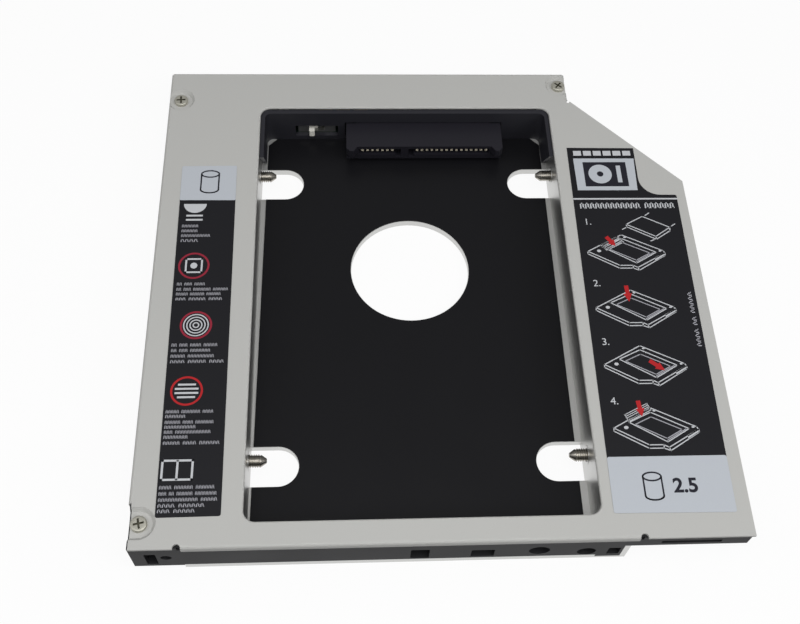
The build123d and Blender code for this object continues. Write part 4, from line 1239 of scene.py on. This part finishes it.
@dataclass
class DriveScrews:
    """The four cone-point screws with real threads, in place of the plain solids.

    Attributes:
        crest: The thread's outer radius.
        root: The thread's inner radius.
        pitch: The thread's pitch.
        ridge: Half the width of the thread's ridge at its foot, as a share of the pitch.
        crest_half: Half the width of the ridge at its crest.
        sunk: How deep the ridge's foot lies in the shank.
        start: How far from the head the thread starts.
        short: How much less than the shank's straight length the thread rises.
        steps: How many steps a turn of the thread has.
        reach: How far its point stands out of the wall.
        cone: Length of its cone.
        cone_base: The cone's widest radius, as a share of the thread's outer radius.
        step: Height of the step from the shank out to the cone.
        tip: Radius of the cone's end.
        tip_round: Height and width of the bevel at the cone's end.
        seat: How far behind the wall's inner side its head starts.
        head_radius: The head's radius.
        head_height: The head's height.
        head_round: How far the rounding of the head's rim reaches.
        head_steps: How many steps that rounding has.
        sides: How many sides the shank has.
        cross: Length, width and depth of the pressed cross.
    """

    crest: float = 1.44
    root: float = 1.18
    pitch: float = 0.5
    ridge: float = 0.44
    crest_half: float = 0.04
    sunk: float = 0.05
    start: float = 0.1
    short: float = 0.35
    steps: int = 28
    reach: float = 3.9
    cone: float = 1.3
    cone_base: float = 0.93
    step: float = 0.05
    tip: float = 0.45
    tip_round: float = 0.15
    seat: float = 1.3
    head_radius: float = 2.4
    head_height: float = 1.6
    head_round: float = 0.35
    head_steps: int = 4
    sides: int = 40
    cross: Place = (1.9, 0.42, 0.55)

    def build(self) -> None:
        """Models one screw, copies it to its four places and puts each copy in place of its node."""
        first = Bench.join([self.shank(), self.thread(), self.head()], "drive_screw")
        Bench.smooth(first)
        moves = into_walls()
        for name, piece in zip(moves, Bench.copies(first, moves.values())):
            Bench.rename(piece, name + "_threaded")
            coat(piece, SCREW_METAL)
            hand_over(piece, name + "_body")
            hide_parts(name)

    def shank(self) -> Piece:
        """Turns the shank and cone along Z by extruding and narrowing a cylinder's end.

        Returns:
            The shank.
        """
        piece = Bench.disc(MIDDLE, (self.root, self.root), -self.seat, self.reach - self.cone, self.sides)
        Bench.mark(piece, "FACE", lambda face: face.normal.z > LEVEL)
        slope = self.cone - self.step - self.tip_round
        radius = self.root
        for rise, wanted in ((self.step, self.crest * self.cone_base), (slope, self.tip + self.tip_round),
                             (self.tip_round, self.tip)):
            bpy.ops.mesh.extrude_region_move(TRANSFORM_OT_translate={"value": (0, 0, rise * MM)})
            share = wanted / radius
            bpy.ops.transform.resize(value=(share, share, 1.0), center_override=(0, 0, 0))
            radius = wanted
        bpy.ops.object.mode_set(mode="OBJECT")
        return piece

    def thread(self) -> Piece:
        """Winds a ridge round the shank with the Screw modifier.

        Returns:
            The thread.
        """
        inner = self.root - self.sunk
        half = self.pitch * self.ridge
        low = self.start - self.seat
        middle = low + half
        profile = ((inner, low), (inner, low + 2 * half), (self.crest, middle + self.crest_half),
                   (self.crest, middle - self.crest_half))
        piece = Bench.outline([Vector((out * MM, 0, up * MM)) for out, up in profile], "NOTHING")
        turns = (self.reach - self.cone + self.seat - self.short) / self.pitch
        steps = int(self.steps * turns)
        Bench.modify(piece, "SCREW", angle=math.tau * turns, screw_offset=self.pitch * turns * MM,
                     steps=steps, render_steps=steps, use_merge_vertices=False)
        bpy.ops.object.mode_set(mode="EDIT")
        bpy.ops.mesh.select_mode(type="EDGE")
        bpy.ops.mesh.select_all(action="DESELECT")
        bpy.ops.mesh.select_non_manifold()
        bpy.ops.mesh.edge_face_add()
        Bench.face_outward()
        return piece

    def head(self) -> Piece:
        """Models the head with a rounded rim and a pressed cross, from the same sizes as the CAD head.

        Returns:
            The head.
        """
        outer = -self.seat - self.head_height
        length, width, deep = self.cross
        piece = Bench.disc(MIDDLE, (self.head_radius, self.head_radius), outer, -self.seat)
        Bench.round_rim(piece, outer, self.head_round, self.head_steps)
        Bench.press_cross(piece, length, width, outer - deep, outer + deep)
        return piece


@dataclass
class WallNuts:
    """The four nuts pressed flush into the bay's walls, in place of the plain solids.

    Attributes:
        rim: Radius of the rim on the wall's inner side.
        neck: Radius of the neck in the wall.
        bore: Radius of the bore.
        proud: How far the rim stands proud.
        rim_round: How far the rounding of the rim reaches, and the neck into the rim.
        rim_steps: How many steps that rounding has.
        wall: Thickness of the wall.
    """

    rim: float = 2.2
    neck: float = 2.0
    bore: float = 1.5
    proud: float = 0.06
    rim_round: float = 0.03
    rim_steps: int = 2
    wall: float = 1.2

    def build(self) -> None:
        """Models one nut, copies it to its four places and joins the copies."""
        rim = Bench.ring(MIDDLE, (self.rim, self.rim), self.rim - self.bore, 0.0, self.proud)
        Bench.round_rim(rim, self.proud, self.rim_round, self.rim_steps)
        neck = Bench.ring(MIDDLE, (self.neck, self.neck), self.neck - self.bore, -self.wall, self.rim_round)
        first = Bench.join([rim, neck], "nut")
        Bench.smooth(first)
        piece = Bench.join(Bench.copies(first, into_walls().values()), "wall_nuts")
        coat(piece, NUT_METAL)
        hand_over(piece, BODY)
        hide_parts("drive_screw_nuts")


@dataclass
class CoverScrews:
    """The cover's three pan head screws with pressed crosses, in place of the plain solids.

    Attributes:
        spots: Their places.
        turns: How far each cross is turned, in degrees.
        seat: Height of their heads' undersides.
        radius: The heads' radius.
        rise: The heads' height.
        crown: How far the rounding of a head's rim reaches.
        crown_steps: How many steps that rounding has.
        sides: How many sides a head has.
        cross: Length and width of the pressed cross.
        cross_floor: Height of the cross's floor above the head's underside.
        painted_shade_radius: Radius within which the recess is dark, as painted shade.
        shank: The shanks' radius.
        shank_sides: How many sides a shank has.
        length: The shanks' length.
        overlap: How far the shank reaches into the head.
        margin: How near the recess's floor or the head's top a face still counts as part of it.
    """

    spots: tuple[Point, ...] = ((2.9, 117.1), (100.3, 122.1), (2.4, 5.5))
    turns: tuple[float, ...] = (4.0, 50.0, 12.0)
    seat: float = 11.8
    radius: float = 1.72
    rise: float = 0.85
    crown: float = 0.32
    crown_steps: int = 5
    sides: int = 56
    cross: Point = (2.2, 0.44)
    cross_floor: float = 0.25
    painted_shade_radius: float = 1.25
    shank: float = 0.95
    shank_sides: int = 24
    length: float = 5.5
    overlap: float = 0.02
    margin: float = 0.02

    def build(self) -> None:
        """Models one screw, copies it to its three places and joins the copies."""
        moves = [moved(x, y, self.seat, turn, "Z") for (x, y), turn in zip(self.spots, self.turns)]
        piece = Bench.join(Bench.copies(self.model(), moves), "cover_screws_pressed")
        hand_over(piece, BODY)
        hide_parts("cover_screws")

    def model(self) -> Piece:
        """Models a head with a rounded crown, its cross and its shank on the frame's middle.

        Returns:
            The screw, with painted shade in its recess: a darker finish on the cross's faces.
        """
        head = Bench.disc(MIDDLE, (self.radius, self.radius), 0.0, self.rise, self.sides)
        Bench.round_rim(head, self.rise, self.crown, self.crown_steps)
        Bench.press_cross(head, *self.cross, self.cross_floor, 2 * self.rise)
        shank = Bench.disc(MIDDLE, (self.shank, self.shank), -self.length, self.overlap, self.shank_sides)
        screw = Bench.join([head, shank], "cover_screw")
        Bench.smooth(screw)
        coat(screw, HEAD_METAL, PAINTED_RECESS_SHADE)
        # Faces inside the cross get the darker finish, which paints shade into the recess
        low, high = self.cross_floor - self.margin, self.rise - self.margin
        for face in screw.data.polygons:
            x, y, z = face.center / MM
            face.material_index = 1 if math.hypot(x, y) < self.painted_shade_radius and low < z < high else 0
        return screw


# Carried-over nodes

@dataclass
class Nodes:
    """The CAD nodes that stay as they are, with their finishes.

    Attributes:
        finishes: The finish of each node.
    """

    finishes: dict[str, Finish] = field(default_factory=lambda: {
        "base_tray": TRAY_METAL, "top_cover": COVER_SHEET, "bay_film": FILM, "front_bar": MOULDED,
        "front_bar_screws": SCREW_METAL, "circuit_board": BOARD_MASK, "board_screws": SCREW_METAL,
        "drive_connector": CONNECTOR, "drive_contacts": GOLD, "host_connector": CONNECTOR,
        "host_contacts": GOLD, "switch_frame": SWITCH_CAN, "switch_lever": LEVER,
        "board_capacitors": CHIP_BODY, "rear_holder": HOLDER, "left_label": LABEL_BLACK,
        "right_label": LABEL_BLACK})

    def dress(self) -> None:
        """Gives each node its finish."""
        for name, finish in self.finishes.items():
            coat(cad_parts[name], finish)
            LOG.info("%s gets %s", name, finish.name)


# Studio

@dataclass(frozen=True)
class Lamp:
    """A soft square lamp that points at the frame's origin.

    Attributes:
        name: Its name.
        spot: Its place in metres.
        watts: Its power.
        size: Its side in metres.
    """

    name: str
    spot: Place
    watts: float
    size: float = 0.3

    def hang(self) -> None:
        """Hangs the lamp."""
        data = bpy.data.lights.new(self.name, "AREA")
        data.shape = "SQUARE"
        data.size = self.size
        data.energy = self.watts
        lamp = bpy.data.objects.new(self.name, data)
        lamp.location = self.spot
        lamp.rotation_euler = (-Vector(self.spot)).to_track_quat("-Z", "Y").to_euler()
        bpy.context.scene.collection.objects.link(lamp)


@dataclass
class Studio:
    """Floor, light, background and camera.

    Attributes:
        lens: Focal length in millimetres on the sensor.
        sensor: The sensor's width in millimetres.
        shift: The camera's shift.
        eye: The camera's place in metres.
        right: The camera's right in the frame.
        up: The camera's up in the frame.
        clip: The nearest and the farthest that the camera sees, in metres.
        zenith: Brightness of the surrounding light overhead.
        horizon: Brightness of the surrounding light at the sides.
        floor_size: The floor's side in metres.
        floor_tones: The floor's tone for light that falls on the caddy, and as it is seen.
        floor_rough: The floor's roughness.
        floor_specular: The floor's specular level.
        floor_glow: Share of the floor that shows plain white where it is seen.
        lamps: The lamps.
    """

    lens: float = 49.172
    sensor: float = 36.0
    shift: Point = (-0.01466, -0.03811)
    eye: Place = (-0.018954, -0.133618, 0.226955)
    right: Place = (0.998295, -0.038244, 0.044099)
    up: Place = (0.009302, 0.850053, 0.526616)
    clip: Point = (0.005, 20.0)
    zenith: float = 0.42
    horizon: float = 0.08
    floor_size: float = 6.0
    floor_tones: Point = (0.15, 0.9)
    floor_rough: float = 0.9
    floor_specular: float = 0.1
    floor_glow: float = 0.92
    lamps: tuple[Lamp, ...] = (
        Lamp("key lamp", (0.0, -0.15, 0.38), 0.65), Lamp("right lamp", (0.42, -0.26, 0.4), 1.05),
        Lamp("left lamp", (-0.4, -0.1, 0.42), 0.48))

    def build(self) -> None:
        """Builds the studio."""
        bpy.context.scene.view_settings.view_transform = "Standard"
        self.camera()
        self.floor()
        self.world()
        for lamp in self.lamps:
            lamp.hang()

    def camera(self) -> None:
        """Sets the camera at the photograph's angle."""
        data = bpy.data.cameras.new("camera")
        data.sensor_width = self.sensor
        data.sensor_fit = "HORIZONTAL"
        data.lens = self.lens
        data.shift_x, data.shift_y = self.shift
        data.clip_start, data.clip_end = self.clip
        camera = bpy.data.objects.new("camera", data)
        right, up = Vector(self.right).normalized(), Vector(self.up).normalized()
        turn = Matrix((right, up, right.cross(up))).transposed().to_4x4()
        camera.matrix_world = Matrix.Translation(self.eye) @ turn
        bpy.context.scene.collection.objects.link(camera)
        bpy.context.scene.camera = camera

    @staticmethod
    def seen(tree: Tree) -> Socket:
        """Adds the test for rays that show the background.

        Args:
            tree: The node tree that gets it.

        Returns:
            1 for camera, glossy and transmission rays, else 0.
        """
        path = tree.nodes.new("ShaderNodeLightPath")
        first = worked(tree, "MAXIMUM", path.outputs["Is Camera Ray"], path.outputs["Is Glossy Ray"])
        return worked(tree, "MAXIMUM", first, path.outputs["Is Transmission Ray"])

    def floor(self) -> None:
        """Lays the plain pale floor."""
        Bench.clear()
        bpy.ops.mesh.primitive_plane_add(size=self.floor_size, location=(0, 0, 0))
        floor = Bench.settle(bpy.context.object, "floor")
        made = bpy.data.materials.new("pale floor")
        made.use_nodes = True
        tree = made.node_tree
        shader = found(tree, "BSDF_PRINCIPLED")
        fill(shader, {"Roughness": self.floor_rough, "Specular IOR Level": self.floor_specular})
        glow = tree.nodes.new("ShaderNodeEmission")
        mix = tree.nodes.new("ShaderNodeMixShader")
        seen = self.seen(tree)
        tree.links.new(ranged(tree, seen, (0.0, 1.0), self.floor_tones), shader.inputs["Base Color"])
        tree.links.new(worked(tree, "MULTIPLY", seen, self.floor_glow), mix.inputs["Fac"])
        tree.links.new(shader.outputs[0], mix.inputs[1])
        tree.links.new(glow.outputs[0], mix.inputs[2])
        tree.links.new(mix.outputs[0], found(tree, "OUTPUT_MATERIAL").inputs["Surface"])
        floor.data.materials.append(made)

    def world(self) -> None:
        """Sets the surrounding light, brighter overhead than at the sides."""
        world = bpy.data.worlds.new("studio")
        bpy.context.scene.world = world
        world.use_nodes = True
        tree = world.node_tree
        light = found(tree, "BACKGROUND")
        light.inputs["Color"].default_value = (1.0, 1.0, 1.0, 1.0)
        way = tree.nodes.new("ShaderNodeNewGeometry")
        parts = tree.nodes.new("ShaderNodeSeparateXYZ")
        tree.links.new(way.outputs["Incoming"], parts.inputs[0])
        level = ranged(tree, parts.outputs["Z"], (0.0, -1.0), (self.horizon, self.zenith))
        tree.links.new(level, light.inputs["Strength"])


def main() -> None:
    """Builds everything in order."""
    logging.basicConfig(level=logging.INFO, format="%(name)s: %(message)s")
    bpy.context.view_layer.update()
    Studio().build()
    Nodes().dress()
    DriveScrews().build()
    WallNuts().build()
    CoverScrews().build()
    LeftLabel().build()
    RightLabel().build()


if __name__ == "__main__":
    main()
